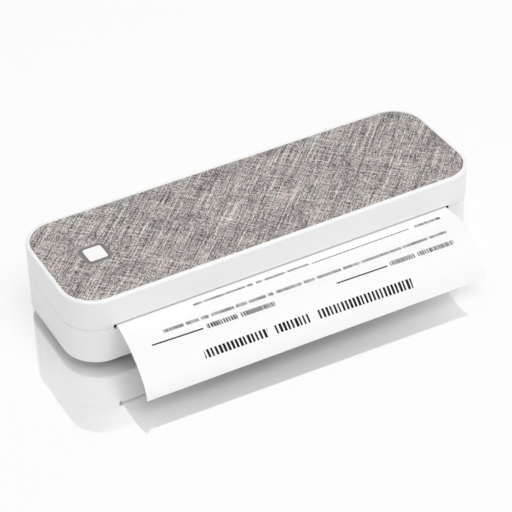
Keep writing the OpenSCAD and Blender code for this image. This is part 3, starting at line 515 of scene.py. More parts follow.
@dataclass(frozen=True)
class ShrinkWrap(Moulded):
    """Battery wrap with a pale insulating ring and the bare metal of the pole at each end."""

    wrap_end: float = 0.064
    middle: float = 0.0005

    def tinted(self, graph: Graph, place: Socket, colour: Socket) -> Socket:
        """Returns the wrap's colour between the ends, and nickel outside them."""
        x, _, _ = graph.split(place)
        reach = graph.math("ABSOLUTE", x)
        rim = graph.math("GREATER_THAN", reach, self.wrap_end - 0.0004)
        pole = graph.math("GREATER_THAN", reach, self.wrap_end + 0.0004)
        ringed = graph.mix(rim, colour, (0.78, 0.78, 0.76))
        inner = graph.math("LESS_THAN", reach, self.middle + 0.0002)
        ends = graph.math("MAXIMUM", pole, inner)
        return graph.mix(ends, ringed, (0.55, 0.55, 0.54))


@dataclass(frozen=True)
class Metal(Finish):
    """Rolled, drawn or turned metal."""

    grain: Grain = Grain.ALONG_X
    line_depth: float = 0.000003
    marks: float = 0.4
    edge: float = 0.0001

    def wire(self, graph: Graph, shader: bpy.types.Node, place: Socket) -> None:
        """Joins the lines, their gloss and the smudges."""
        lines = LINES.place(graph, Place=place, Stretch=self.grain.value)
        marks = MARKS.place(graph, Place=place, Amount=self.marks)["Mask"]
        rough = graph.math("ADD", self.roughness, graph.math("MULTIPLY", lines["Gloss"], 0.3))
        rough = graph.math("ADD", rough, graph.math("MULTIPLY", marks, 0.15), True)
        colour = self.tinted(graph, place, graph.tone(self.colour, lines["Tone"]))
        normal = graph.bump(lines["Height"], self.line_depth, soft_edge(graph, self.edge))
        for name, value in (("Base Color", colour), ("Roughness", rough), ("Normal", normal)):
            graph.feed(shader.inputs[name], value)
        shader.inputs["Metallic"].default_value = 1.0

    def tinted(self, graph: Graph, place: Socket, colour: Socket) -> Socket:
        """Returns the colour as it is; a finish with more parts changes it by place."""
        return colour


@dataclass(frozen=True)
class SocketMetal(Metal):
    """Steel shell of a socket round its black contact tongue."""

    tongue_y: float = 0.013
    tongue_z: float = 0.00943

    def wire(self, graph: Graph, shader: bpy.types.Node, place: Socket) -> None:
        """Joins the metal, and takes the metal out of the tongue."""
        super().wire(graph, shader, place)
        _, y, z = graph.split(place)
        near = graph.math("LESS_THAN", graph.math("ABSOLUTE", graph.math(
            "SUBTRACT", z, self.tongue_z)), 0.0004)
        side = graph.math("LESS_THAN", graph.math("ABSOLUTE", graph.math(
            "SUBTRACT", y, self.tongue_y)), 0.0034)
        tongue = graph.math("MULTIPLY", near, side)
        colour = graph.mix(tongue, shader.inputs["Base Color"].links[0].from_socket,
                           (0.02, 0.02, 0.02))
        graph.feed(shader.inputs["Base Color"], colour)
        graph.feed(shader.inputs["Metallic"], graph.math("SUBTRACT", 1.0, tongue))


@dataclass(frozen=True)
class HeadCeramic(Finish):
    """Glazed strip with its dark heater line, gold leads behind it, and the connector above."""

    glaze_top: float = 0.0236
    line_y: float = -0.027

    def wire(self, graph: Graph, shader: bpy.types.Node, place: Socket) -> None:
        """Joins the glaze, the heater line, the leads and the connector's plastic."""
        skin = SKIN.place(graph, Place=place, Grain_Size=0.0004, Clouds=0.03)
        x, y, z = graph.split(place)
        leads = graph.math("SINE", graph.math("MULTIPLY", x, 2 * math.pi / 0.0006))
        gold = graph.math("MULTIPLY", graph.math("GREATER_THAN", leads, 0.0),
                          graph.math("GREATER_THAN", y, self.line_y + 0.0006))
        heater = graph.math("LESS_THAN", graph.math("ABSOLUTE", graph.math(
            "SUBTRACT", y, self.line_y)), 0.0004)
        colour = graph.tone(self.colour, skin["Tone"])
        colour = graph.mix(graph.math("MULTIPLY", gold, 0.8), colour, (0.75, 0.56, 0.25))
        colour = graph.mix(heater, colour, (0.13, 0.08, 0.06))
        above = graph.math("GREATER_THAN", z, self.glaze_top + 0.00002)
        colour = graph.mix(above, colour, (0.68, 0.65, 0.56))
        graph.feed(shader.inputs["Base Color"], colour)
        graph.feed(shader.inputs["Roughness"], graph.blend(above, self.roughness, 0.5))
        graph.feed(shader.inputs["Normal"], graph.bump(
            skin["Height"], 0.000002, soft_edge(graph, 0.00008)))


@dataclass(frozen=True)
class Paper(Finish):
    """Coated thermal paper, bare or blackened by the head."""

    specular: float = 0.5
    ink: Optional[Colour] = None
    stroke_pitch: float = 0.0
    stroke_width: tuple[float, float] = (0.4, 0.8)

    def wire(self, graph: Graph, shader: bpy.types.Node, place: Socket) -> None:
        """Joins the look-through, the tooth, and the uneven print where there is one."""
        fibres = FIBRES.place(graph, Place=place, Cloud_Depth=0.03)
        colour = graph.tone(self.colour, fibres["Tone"])
        if self.ink:
            dots = graph.remap(graph.noise(place, 5200.0, 2.0), 0.35, 0.7, 1.0, 0.98)
            share = graph.math("MULTIPLY", dots, self.strokes(graph, place))
            colour = graph.mix(share, colour, self.ink)
        shader.inputs["Specular IOR Level"].default_value = self.specular
        graph.feed(shader.inputs["Base Color"], colour)
        graph.feed(shader.inputs["Normal"], graph.bump(fibres["Height"], 0.000003))
        rough = graph.math("ADD", self.roughness, graph.math("MULTIPLY", fibres["Height"], 0.1))
        graph.feed(shader.inputs["Roughness"], rough)

    def strokes(self, graph: Graph, place: Socket) -> Any:
        """Returns 1 on upright strokes of uneven width and 0 between, or 1 for a plain bar."""
        if not self.stroke_pitch:
            return 1.0
        step = graph.math("DIVIDE", graph.split(place)[0], self.stroke_pitch)
        cell = graph.node("CombineXYZ", {}, {0: graph.math("FLOOR", step)}).outputs[0]
        chance = graph.node("TexWhiteNoise", {}, {"Vector": cell}).outputs["Value"]
        width = graph.remap(chance, 0.0, 1.0, *self.stroke_width)
        return graph.math("LESS_THAN", graph.math("FRACT", step), width)


@dataclass(frozen=True)
class WoundPaper(Finish):
    """Paper or board wound on an axis: layers on the end faces, a seam along the outside."""

    axis_y: float = 0.02
    axis_z: float = 0.0165
    layer: float = 0.00022
    contrast: float = 0.12
    spiral: float = 0.0

    def wire(self, graph: Graph, shader: bpy.types.Node, place: Socket) -> None:
        """Joins the layers round the axis, the spiral joint and the fibres."""
        fibres = FIBRES.place(graph, Place=place, Cloud_Depth=0.05)
        x, y, z = graph.split(place)
        dy = graph.math("SUBTRACT", y, self.axis_y)
        dz = graph.math("SUBTRACT", z, self.axis_z)
        radius = graph.math("SQRT", graph.math("ADD", graph.math("MULTIPLY", dy, dy),
                                               graph.math("MULTIPLY", dz, dz)))
        angle = graph.math("DIVIDE", graph.math("ARCTAN2", dz, dy), 2 * math.pi)
        turn = graph.math("ADD", graph.math("DIVIDE", radius, self.layer), angle)
        ring = graph.math("SINE", graph.math("MULTIPLY", turn, 2 * math.pi))
        uneven = graph.noise(graph.node("CombineXYZ", {}, {0: turn}).outputs[0], 0.35, 2.0)
        depth = graph.math("MULTIPLY", ring, graph.math("MULTIPLY", uneven, self.contrast))
        tone = graph.math("ADD", fibres["Tone"], depth)
        height = graph.math("ADD", graph.math("MULTIPLY", ring, 0.5), fibres["Height"])
        if self.spiral:
            path = graph.math("ADD", graph.math("DIVIDE", x, self.spiral), angle)
            joint = graph.math("FRACT", graph.math("ADD", path, 100.0))
            gap = graph.math("LESS_THAN", joint, 0.03)
            tone = graph.math("SUBTRACT", tone, graph.math("MULTIPLY", gap, 0.35))
        graph.feed(shader.inputs["Base Color"], graph.tone(self.colour, tone))
        graph.feed(shader.inputs["Normal"], graph.bump(height, 0.00001))


@dataclass(frozen=True)
class Linen(Finish):
    """Linen-look cloth laid on the bias, flattened against the ring in its hole, with painted shade
    that darkens it towards the hole.
    """

    other: Colour = (0.392, 0.369, 0.349)
    warp_pitch: float = 0.00048
    weft_pitch: float = 0.00045
    bias: float = math.radians(45)
    contrast: float = 3.8
    slub: float = 0.66
    hole_x: float = -0.0973
    hole_flat: float = 0.0044
    hole_corner: float = 0.0034
    flattened_shade_width: float = 0.0005

    def wire(self, graph: Graph, shader: bpy.types.Node, place: Socket) -> None:
        """Joins the weave, its streaks, the patches of colour and the nap."""
        turned = graph.stretched(place, (1.0, 1.0, 1.0), (0.0, 0.0, -self.bias))
        weave = WEAVE.place(graph, Place=turned, Warp_Pitch=self.warp_pitch,
                            Weft_Pitch=self.weft_pitch)
        drawn = graph.stretched(turned, (40.0, 110.0, 75.0))
        patch = graph.remap(graph.noise(drawn, 1.0, 3.0, 0.6), 0.4, 0.6, 0.0, 1.0)
        colour = graph.mix(patch, self.colour, self.other)
        tone = graph.math("MULTIPLY", graph.math("SUBTRACT", weave["Shade"], 0.5), self.contrast)
        tone = graph.math("ADD", tone, graph.math("MULTIPLY", weave["Slub"], self.slub))
        cloud = graph.remap(graph.noise(place, 110.0, 3.0, 0.6), 0.3, 0.7, -0.1, 0.1)
        free = self.flattened_and_shaded_edge(graph, place)
        # near the button's hole the weave is flattened, and its tone is painted down to 0.72 as shade
        tone = graph.math("MULTIPLY", graph.math("ADD", tone, cloud), free)
        tone = graph.math("ADD", tone, graph.remap(free, 0.3, 1.0, 0.72, 1.0))
        tone = graph.remap(tone, 0.1, 2.4, 0.1, 2.4)
        graph.feed(shader.inputs["Base Color"], graph.tone(colour, tone))
        nap = graph.math("MULTIPLY", graph.noise(place, 5200.0, 2.0, 0.7), 0.4)
        height = graph.math("MULTIPLY", graph.math("ADD", weave["Height"], nap), free)
        graph.feed(shader.inputs["Normal"], graph.bump(height, 0.00006))
        graph.feed(shader.inputs["Roughness"], graph.remap(height, 0.0, 1.2, 0.95, 0.75))
        shader.inputs["Sheen Weight"].default_value = 0.15
        shader.inputs["Sheen Roughness"].default_value = 0.5
        shader.inputs["Specular IOR Level"].default_value = 0.2

    def flattened_and_shaded_edge(self, graph: Graph, place: Socket) -> Socket:
        """Returns 0.3 at the edge of the button's hole, rising to 1 where the cloth is free; it
        flattens the weave there and sets the painted shade.
        """
        reach = graph.reach(place, self.hole_x, (self.hole_flat, self.hole_flat))
        return graph.remap(reach, self.hole_corner, self.hole_corner + self.flattened_shade_width, 0.3, 1.0)


class Finishes:
    """All finishes of the printer."""

    CASING = ShellWithPaintedSlotShade("satin_white", (0.95, 0.95, 0.951), 0.36, grain_size=0.00045,
                          grain_depth=0.0000015, clouds=0.012, edge=0.00025, marks=0.2)
    CAP = Moulded("gloss_white", (1.0, 1.0, 0.997), 0.25, grain_depth=0.0000008, clouds=0.01,
                  edge=0.0002, marks=0.2)
    RING = RingPlastic("smooth_grey", (0.193, 0.173, 0.161), 0.42, grain_depth=0.000002,
                       edge=0.0002)
    LINER = Moulded("black_liner", (0.03, 0.03, 0.031), 0.5, grain_depth=0.000006)
    IVORY = Moulded("ivory_acetal", (0.78, 0.74, 0.62), 0.35, grain_depth=0.000002, edge=0.00008)
    BLACK = Moulded("black_moulding", (0.022, 0.022, 0.023), 0.4, grain_depth=0.000004)
    RUBBER = Moulded("matt_rubber", (0.03, 0.03, 0.03), 0.75, grain_size=0.00018,
                     grain_depth=0.000012, clouds=0.25, specular=0.3, marks=0.8)
    STEEL = Metal("plated_steel", (0.6, 0.6, 0.61), 0.32)
    TURNED = Metal("turned_steel", (0.62, 0.62, 0.63), 0.22, grain=Grain.TURNED)
    SPRING = Metal("spring_steel", (0.48, 0.48, 0.5), 0.28, grain=Grain.ALONG_Z)
    BLACKENED = Metal("blackened_steel", (0.12, 0.12, 0.125), 0.38, grain=Grain.TURNED)
    ALUMINIUM = Metal("extruded_aluminium", (0.72, 0.73, 0.75), 0.38)
    BRASS = Metal("cut_brass", (0.76, 0.55, 0.22), 0.25, grain=Grain.TURNED)
    SOCKET = SocketMetal("socket_steel", (0.62, 0.62, 0.63), 0.25)
    CERAMIC = HeadCeramic("glazed_ceramic", (0.76, 0.74, 0.68), 0.18)
    CONTROL = CircuitBoard("control_board", (0.018, 0.16, 0.07), 0.3, grain_depth=0.000002,
                           clouds=0.15, top=0.03533, parts_top=1.0)
    CHARGE = CircuitBoard("charge_board", (0.018, 0.16, 0.07), 0.3, grain_depth=0.000002,
                          clouds=0.15, top=1.0)
    CELL = ShrinkWrap("cell_wrap", (0.03, 0.11, 0.3), 0.22, grain_depth=0.000001, coat=0.4)
    PAPER = Paper("thermal_paper", (0.95, 0.95, 0.947), 0.55)
    RULE = Paper("thermal_rule", (0.95, 0.95, 0.947), 0.7, specular=0.1, ink=(0.006, 0.006, 0.006))
    SMALL = Paper("thermal_small", (0.95, 0.95, 0.947), 0.7, specular=0.1,
                  ink=(0.006, 0.006, 0.006), stroke_pitch=0.0011)
    MEDIUM = Paper("thermal_medium", (0.95, 0.95, 0.947), 0.7, specular=0.1,
                   ink=(0.006, 0.006, 0.006), stroke_pitch=0.0015)
    LARGE = Paper("thermal_large", (0.95, 0.95, 0.947), 0.7, specular=0.1,
                  ink=(0.006, 0.006, 0.006), stroke_pitch=0.0024, stroke_width=(0.4, 0.7))
    ROLL = WoundPaper("wound_paper", (0.9, 0.9, 0.89), 0.6)
    BOARD_TUBE = WoundPaper("wound_cardboard", (0.36, 0.25, 0.14), 0.8, layer=0.0005,
                            contrast=0.4, spiral=0.055)
    CLOTH = Linen("bias_linen", (0.392, 0.347, 0.337), 0.9)


# ---------------------------------------------------------------- mesh helpers


def new_piece(
    name: str, mesh: bpy.types.Mesh, body: Body, finishes: Sequence[Finish]
) -> bpy.types.Object:
    """Puts a mesh in the scene as a piece of the printer.

    Args:
        name: The piece's name.
        mesh: Its mesh, in place in the frame.
        body: What it moves with.
        finishes: Its finishes, in the order of its material numbers.

    Returns:
        The new object.
    """
    made = bpy.data.objects.new(name, mesh)
    bpy.context.scene.collection.objects.link(made)
    for finish in finishes:
        mesh.materials.append(finish.material())
    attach(made, body.value)
    LOG.info("%s: %d faces", name, len(mesh.polygons))
    return made


def rounded_outline(
    length: float, depth: float, radius: float, centre: tuple[float, float], steps: int
) -> list[tuple[float, float]]:
    """Returns the points of a rectangle with round corners, going anticlockwise."""
    points = []
    for quarter, (sx, sy) in enumerate(((1, 1), (-1, 1), (-1, -1), (1, -1))):
        cx = centre[0] + sx * (length / 2 - radius)
        cy = centre[1] + sy * (depth / 2 - radius)
        for step in range(steps + 1):
            angle = math.radians(90 * (quarter + step / steps))
            points.append((cx + radius * math.cos(angle), cy + radius * math.sin(angle)))
    return points


# ---------------------------------------------------------------- sub-assemblies


@dataclass
class Casing:
    """Base, cover, the inner cover under it, hinge, latch and feet."""

    def dress(self) -> None:
        """Gives the casing's CAD nodes their finishes."""
        Finishes.CASING.put_on("base_shell", "top_cover")
        Finishes.LINER.put_on("inner_cover")
        Finishes.RUBBER.put_on("rubber_feet")
        Finishes.TURNED.put_on("hinge_pins")
        Finishes.SPRING.put_on("latch_springs")
        Finishes.BLACKENED.put_on("latch_screws", "inner_cover_screws")


@dataclass
class ClothTop:
    """The cloth that fills the recess of the cover, with a hole for the button's ring."""

    corner: float = 18.0 * MM
    hole: float = 15.6 * MM
    hole_corner: float = 3.4 * MM
    button_x: float = -97.3 * MM
    pitch: float = 2.4 * MM
    roll_down: tuple[tuple[float, float], ...] = (
        (0.0, 0.3), (0.05, 0.14), (0.16, 0.05), (0.34, 0.01), (0.6, 0.0))
    ripple: float = 0.02 * MM

    def build(self) -> bpy.types.Object:
        """Builds the cloth over the CAD's panel: a flat field, rolled edges and sides down to the
        panel's underside.

        Returns:
            The cloth, which replaces the panel.
        """
        low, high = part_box("fabric_panel")
        size = high - low
        centre = ((low.x + high.x) / 2, (low.y + high.y) / 2)
        points: list[tuple[float, float]] = []
        drops: list[float] = []
        edges: list[tuple[int, int]] = []
        for inset, drop in self.roll_down:
            for loop in (
                rounded_outline(size.x - 2 * inset * MM, size.y - 2 * inset * MM,
                                self.corner - inset * MM, centre, 14),
                rounded_outline(self.hole + 2 * inset * MM, self.hole + 2 * inset * MM,
                                self.hole_corner + inset * MM, (self.button_x, 0.0), 6),
            ):
                first = len(points)
                points += loop
                drops += [drop * MM] * len(loop)
                edges += [(first + i, first + (i + 1) % len(loop)) for i in range(len(loop))]
        for x in self.steps(low.x, high.x):
            for y in self.steps(low.y, high.y):
                if self.inside(x, y, low, high):
                    points.append((x, y))
                    drops.append(self.sway(x, y))
        flat = geometry.delaunay_2d_cdt([Vector(p) for p in points], edges, [], 0, 1e-7)
        mesh_points, _, faces, origins = flat[0], flat[1], flat[2], flat[3]
        mesh = bpy.data.meshes.new("linen_top")
        build = bmesh.new()
        tops = []
        for place, source in zip(mesh_points, origins):
            drop = drops[source[0]] if source else 0.0
            tops.append(build.verts.new((place.x, place.y, high.z - drop)))
        for face in faces:
            middle = sum((mesh_points[i] for i in face), Vector((0.0, 0.0))) / len(face)
            if self.on_cloth(middle, size, centre):
                build.faces.new([tops[i] for i in face])
        bmesh.ops.delete(build, geom=[v for v in build.verts if not v.link_faces], context="VERTS")
        rim = [e for e in build.edges if len(e.link_faces) == 1]
        grown = bmesh.ops.extrude_edge_only(build, edges=rim)["geom"]
        for vert in (g for g in grown if isinstance(g, bmesh.types.BMVert)):
            vert.co.z = low.z
        bmesh.ops.recalc_face_normals(build, faces=build.faces)
        for face in build.faces:
            face.smooth = True
        build.to_mesh(mesh)
        build.free()
        cloth = new_piece("linen_top", mesh, Body.COVER, [Finishes.CLOTH])
        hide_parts("fabric_panel")
        return cloth

    def steps(self, low: float, high: float) -> list[float]:
        """Returns even steps between two ends."""
        count = max(2, round((high - low) / self.pitch))
        return [low + (high - low) * (i + 0.5) / count for i in range(count)]

    def sway(self, x: float, y: float) -> float:
        """Returns how far the glued cloth lies under its highest point here."""
        wave = math.sin(x * 310 + 2.1 * math.sin(y * 120)) * math.sin(y * 260 + x * 70)
        return self.ripple * (0.5 + 0.5 * wave)

    def inside(self, x: float, y: float, low: Vector, high: Vector) -> bool:
        """Tells whether a point lies on the cloth's flat field, clear of its edges."""
        margin = 1.2 * MM
        radius = self.corner
        dx = max(abs(x - (low.x + high.x) / 2) - (high.x - low.x) / 2 + radius, 0.0)
        dy = max(abs(y - (low.y + high.y) / 2) - (high.y - low.y) / 2 + radius, 0.0)
        near_hole = max(abs(x - self.button_x), abs(y)) < self.hole / 2 + margin
        return math.hypot(dx, dy) < radius - margin and not near_hole

    def on_cloth(self, point: Vector, size: Vector, centre: tuple[float, float]) -> bool:
        """Tells whether a face's middle lies between the outline and the button's hole."""
        dx = max(abs(point.x - centre[0]) - size.x / 2 + self.corner, 0.0)
        dy = max(abs(point.y - centre[1]) - size.y / 2 + self.corner, 0.0)
        reach = self.hole / 2 - self.hole_corner
        hx = max(abs(point.x - self.button_x) - reach, 0.0)
        hy = max(abs(point.y) - reach, 0.0)
        return math.hypot(dx, dy) < self.corner and math.hypot(hx, hy) > self.hole_corner


@dataclass
class ButtonSet:
    """Cap, the ring round it, and the switch under it."""

    def dress(self) -> None:
        """Gives the button's CAD nodes their finishes."""
        Finishes.CAP.put_on("power_button")
        Finishes.RING.put_on("button_bezel")
        Finishes.BLACK.put_on("tact_switch", "switch_plunger")


@dataclass(frozen=True)
class PrintRow:
    """One row of plain bars or rules on the sheet.

    The row is placed by where the photograph shows it at the sheet's two side edges, as
    shares of the way from the slot to the front edge.
    """

    left: float
    right: float
    kind: Print
    height: float
    bars: tuple[tuple[float, float], ...]


@dataclass
class PrintedSheet:
    """The sheet from the roll, through the nip and the slot, to its curled front edge."""

    half_width: float = 105.0
    mouth: tuple[float, float] = (-40.0, 22.7)
    guide: tuple[float, float] = (-17.6, 22.7)
    roll: tuple[float, float] = (20.0, 16.5)
    touch: float = 14.18
    drift: float = 4.6
    left_curve: tuple[float, float, float, float, float] = (43.4, 7.7, 2.8, 12.8, 4.5)
    right_curve: tuple[float, float, float, float, float] = (48.2, 13.2, 16.8, 25.8, 5.9)
    free_length: float = 51.0
    thickness: float = 0.16
    wrap: float = 55.0
    rows: tuple[PrintRow, ...] = (
        PrintRow(0.125, 0.150, Print.SMALL, 2.0, (
            (43.0, 48.5), (50.0, 62.0), (63.5, 75.0), (76.5, 80.0), (82.0, 85.5),
            (87.0, 100.0), (101.5, 115.0))),
        PrintRow(0.150, 0.172, Print.RULE, 0.7, ((117.0, 180.0),)),
        PrintRow(0.125, 0.150, Print.MEDIUM, 2.7, ((184.0, 201.0),)),
        PrintRow(0.320, 0.445, Print.SMALL, 2.0, (
            (21.0, 33.0), (34.5, 42.0), (43.5, 48.0), (49.5, 63.0), (64.5, 71.0),
            (72.5, 82.5), (84.0, 87.5), (89.0, 104.5), (106.0, 113.0), (114.5, 129.5),
            (131.0, 141.0), (142.5, 168.0), (169.5, 185.0), (186.5, 198.0))),
        PrintRow(0.405, 0.605, Print.MEDIUM, 2.7, (
            (44.5, 62.5), (64.5, 85.0), (157.0, 173.0), (175.0, 198.0))),
        PrintRow(0.430, 0.640, Print.RULE, 0.8, ((12.0, 42.0), (123.0, 155.0))),
        PrintRow(0.662, 0.832, Print.LARGE, 4.5, ((37.0, 75.0), (79.5, 101.0), (105.5, 165.0))),
    )

    def curve(self, x: float, numbers: Sequence[float], share: float) -> Vector:
        """Returns a point of one side edge, from the slot (0) to the front edge (1)."""
        reach, lead, back, lift, end_height = numbers
        start = Vector((x, self.mouth[0], self.mouth[1]))
        end = Vector((x - self.drift, self.mouth[0] - reach, end_height))
        near = start - Vector((0.0, lead, 0.0))
        far = end + Vector((self.drift / 4, back, lift))
        rest = 1 - share
        return (start * rest ** 3 + near * 3 * rest ** 2 * share
                + far * 3 * rest * share ** 2 + end * share ** 3)

    def web(self) -> list[tuple[float, float]]:
        """Returns (y, z) of the web inside the casing, from on the roll to the slot."""
        way = Vector(self.roll) - Vector(self.guide)
        up = math.atan2(way.y, way.x) + math.asin(self.touch / way.length)
        length = math.sqrt(way.length ** 2 - self.touch ** 2)
        leave = Vector(self.guide) + length * Vector((math.cos(up), math.sin(up)))
        start = math.atan2(leave.y - self.roll[1], leave.x - self.roll[0])
        points = []
        for step in range(12, 0, -1):
            angle = start - math.radians(self.wrap) * step / 12
            points.append((self.roll[0] + self.touch * math.cos(angle),
                           self.roll[1] + self.touch * math.sin(angle)))
        points += [tuple(leave.lerp(Vector(self.guide), i / 6)) for i in range(6)]
        points.append(self.guide)
        points += [(self.guide[0] + (self.mouth[0] - self.guide[0]) * i / 5, self.mouth[1])
                   for i in range(1, 5)]
        return points

    def columns(self) -> list[float]:
        """Returns the places across the sheet where its faces are cut, from its left edge."""
        cuts = {round(5.0 * i, 3) for i in range(int(self.half_width * 2 / 5) + 1)}
        for row in self.rows:
            for start, end in row.bars:
                cuts |= {start, end}
        return sorted(cuts)

    def levels(self) -> list[tuple[float, float]]:
        """Returns the rows' edges as shares of the way at the sheet's left and right edge."""
        marks = []
        for row in self.rows:
            high = row.height / self.free_length
            marks.append((row.left, row.right))
            marks.append((row.left + high, row.right + high))
        return sorted(marks)

    def printed(self, across: float, left: float, right: float) -> Print:
        """Tells what is printed on a face.

        Args:
            across: Distance from the left edge in millimetres.
            left: The face's share at the left edge, from slot to front edge.
            right: The same at the right edge.
        """
        for row in self.rows:
            high = row.height / self.free_length
            if row.left <= left <= row.left + high and row.right <= right <= row.right + high:
                if any(start < across < end for start, end in row.bars):
                    return row.kind
        return Print.BARE

    def build(self) -> bpy.types.Object:
        """Builds the sheet with both faces and its cut edges.

        Returns:
            The sheet, which replaces the CAD's.
        """
        columns = self.columns()
        wide = 2 * self.half_width
        lines: list[list[Vector]] = []
        shares: list[Optional[tuple[float, float]]] = []
        for y, z in self.web():
            lines.append([Vector((c - self.half_width, y, z)) for c in columns])
            shares.append(None)
        for left, right in self.free_cuts():
            row = []
            for c in columns:
                k = c / wide
                share = left + (right - left) * k
                a = self.curve(-self.half_width, self.left_curve, share)
                b = self.curve(self.half_width, self.right_curve, share)
                row.append(a.lerp(b, k))
            lines.append(row)
            shares.append((left, right))
        mesh = self.solid(lines, shares, columns)
        finishes = (Finishes.PAPER, Finishes.RULE, Finishes.SMALL, Finishes.MEDIUM,
                    Finishes.LARGE)
        sheet = new_piece("printed_sheet", mesh, Body.ROOT, finishes)
        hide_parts("paper_sheet")
        return sheet

    def free_cuts(self) -> list[tuple[float, float]]:
        """Returns the cuts along the free part, with even ones between the print's."""
        marks = [(0.0, 0.0)] + self.levels() + [(1.0, 1.0)]
        cuts: list[tuple[float, float]] = []
        for (l0, r0), (l1, r1) in zip(marks, marks[1:]):
            gap = max(l1 - l0, r1 - r0)
            if gap < 1e-6:
                continue
            count = max(1, math.ceil(gap / 0.022))
            cuts += [(l0 + (l1 - l0) * i / count, r0 + (r1 - r0) * i / count)
                     for i in range(count)]
        return cuts + [(1.0, 1.0)]

    def solid(
        self, lines: list[list[Vector]], shares: list[Optional[tuple[float, float]]],
        columns: list[float],
    ) -> bpy.types.Mesh:
        """Makes the thin closed mesh round the sheet's middle surface.

        Args:
            lines: Rows of points from the roll to the front edge.
            shares: Each row's shares at the side edges, or None inside the casing.
            columns: The places across the sheet.

        Returns:
            The mesh, with its printed faces on the prints' materials.
        """
        build = bmesh.new()
        high, low = [], []
        for i, row in enumerate(lines):
            before, after = lines[max(i - 1, 0)], lines[min(i + 1, len(lines) - 1)]
            tops, bottoms = [], []
            for k, point in enumerate(row):
                run = after[k] - before[k]
                side = Vector((0.0, run.z, -run.y)).normalized() * self.thickness / 2
                if side.z < 0 and i > 12:
                    side = -side
                tops.append(build.verts.new((point + side) * MM))
                bottoms.append(build.verts.new((point - side) * MM))
            high.append(tops)
            low.append(bottoms)
        last = len(columns) - 1
        for i in range(len(lines) - 1):
            for k in range(last):
                top = build.faces.new((high[i][k], high[i + 1][k], high[i + 1][k + 1],
                                       high[i][k + 1]))
                build.faces.new((low[i][k], low[i][k + 1], low[i + 1][k + 1], low[i + 1][k]))
                here, there = shares[i], shares[i + 1]
                if here and there:
                    across = (columns[k] + columns[k + 1]) / 2
                    top.material_index = self.printed(
                        across, (here[0] + there[0]) / 2, (here[1] + there[1]) / 2).value
            build.faces.new((high[i][0], low[i][0], low[i + 1][0], high[i + 1][0]))
            build.faces.new((high[i][last], high[i + 1][last], low[i + 1][last], low[i][last]))
        for k in range(last):
            build.faces.new((high[0][k], high[0][k + 1], low[0][k + 1], low[0][k]))
            build.faces.new((high[-1][k], low[-1][k], low[-1][k + 1], high[-1][k + 1]))
        bmesh.ops.recalc_face_normals(build, faces=build.faces)
        for face in build.faces:
            face.smooth = True
        for edge in build.edges:
            if len(edge.link_faces) == 2 and edge.calc_face_angle(0.0) > math.radians(50):
                edge.smooth = False
        mesh = bpy.data.meshes.new("printed_sheet")
        build.to_mesh(mesh)
        build.free()
        return mesh


@dataclass
class PaperStore:
    """The roll on its core, and the sensor that looks at the web."""

    def dress(self) -> None:
        """Gives the roll's CAD nodes their finishes."""
        Finishes.ROLL.put_on("paper_roll")
        Finishes.BOARD_TUBE.put_on("roll_core")
        Finishes.BLACK.put_on("paper_sensor")


@dataclass
class Drive:
    """Chassis, platen, gears and motor."""

    def dress(self) -> None:
        """Gives the drive's CAD nodes their finishes."""
        Finishes.STEEL.put_on("chassis", "stepper_motor")
        Finishes.TURNED.put_on("platen_shaft", "motor_shaft", "idler_pin")
        Finishes.BLACKENED.put_on("chassis_screws", "motor_screws")
        Finishes.RUBBER.put_on("platen_rubber")
        Finishes.IVORY.put_on("platen_gear", "idler_gear", "platen_bushes")
        Finishes.BRASS.put_on("motor_pinion")


@dataclass
class PrintHead:
    """The heated strip, its heat sink and the springs that press it down."""

    def dress(self) -> None:
        """Gives the head's CAD nodes their finishes."""
        Finishes.CERAMIC.put_on("print_head")
        Finishes.ALUMINIUM.put_on("heat_sink")
        Finishes.SPRING.put_on("head_springs")


@dataclass
class Electrics:
    """Cells, boards and the charging socket."""

    def dress(self) -> None:
        """Gives the electric CAD nodes their finishes."""
        Finishes.CELL.put_on("battery_cells")
        Finishes.CHARGE.put_on("charge_board")
        Finishes.CONTROL.put_on("control_board")
        Finishes.SOCKET.put_on("usb_socket")
        Finishes.BLACKENED.put_on("charge_board_screws", "control_board_screws")


# ---------------------------------------------------------------- studio


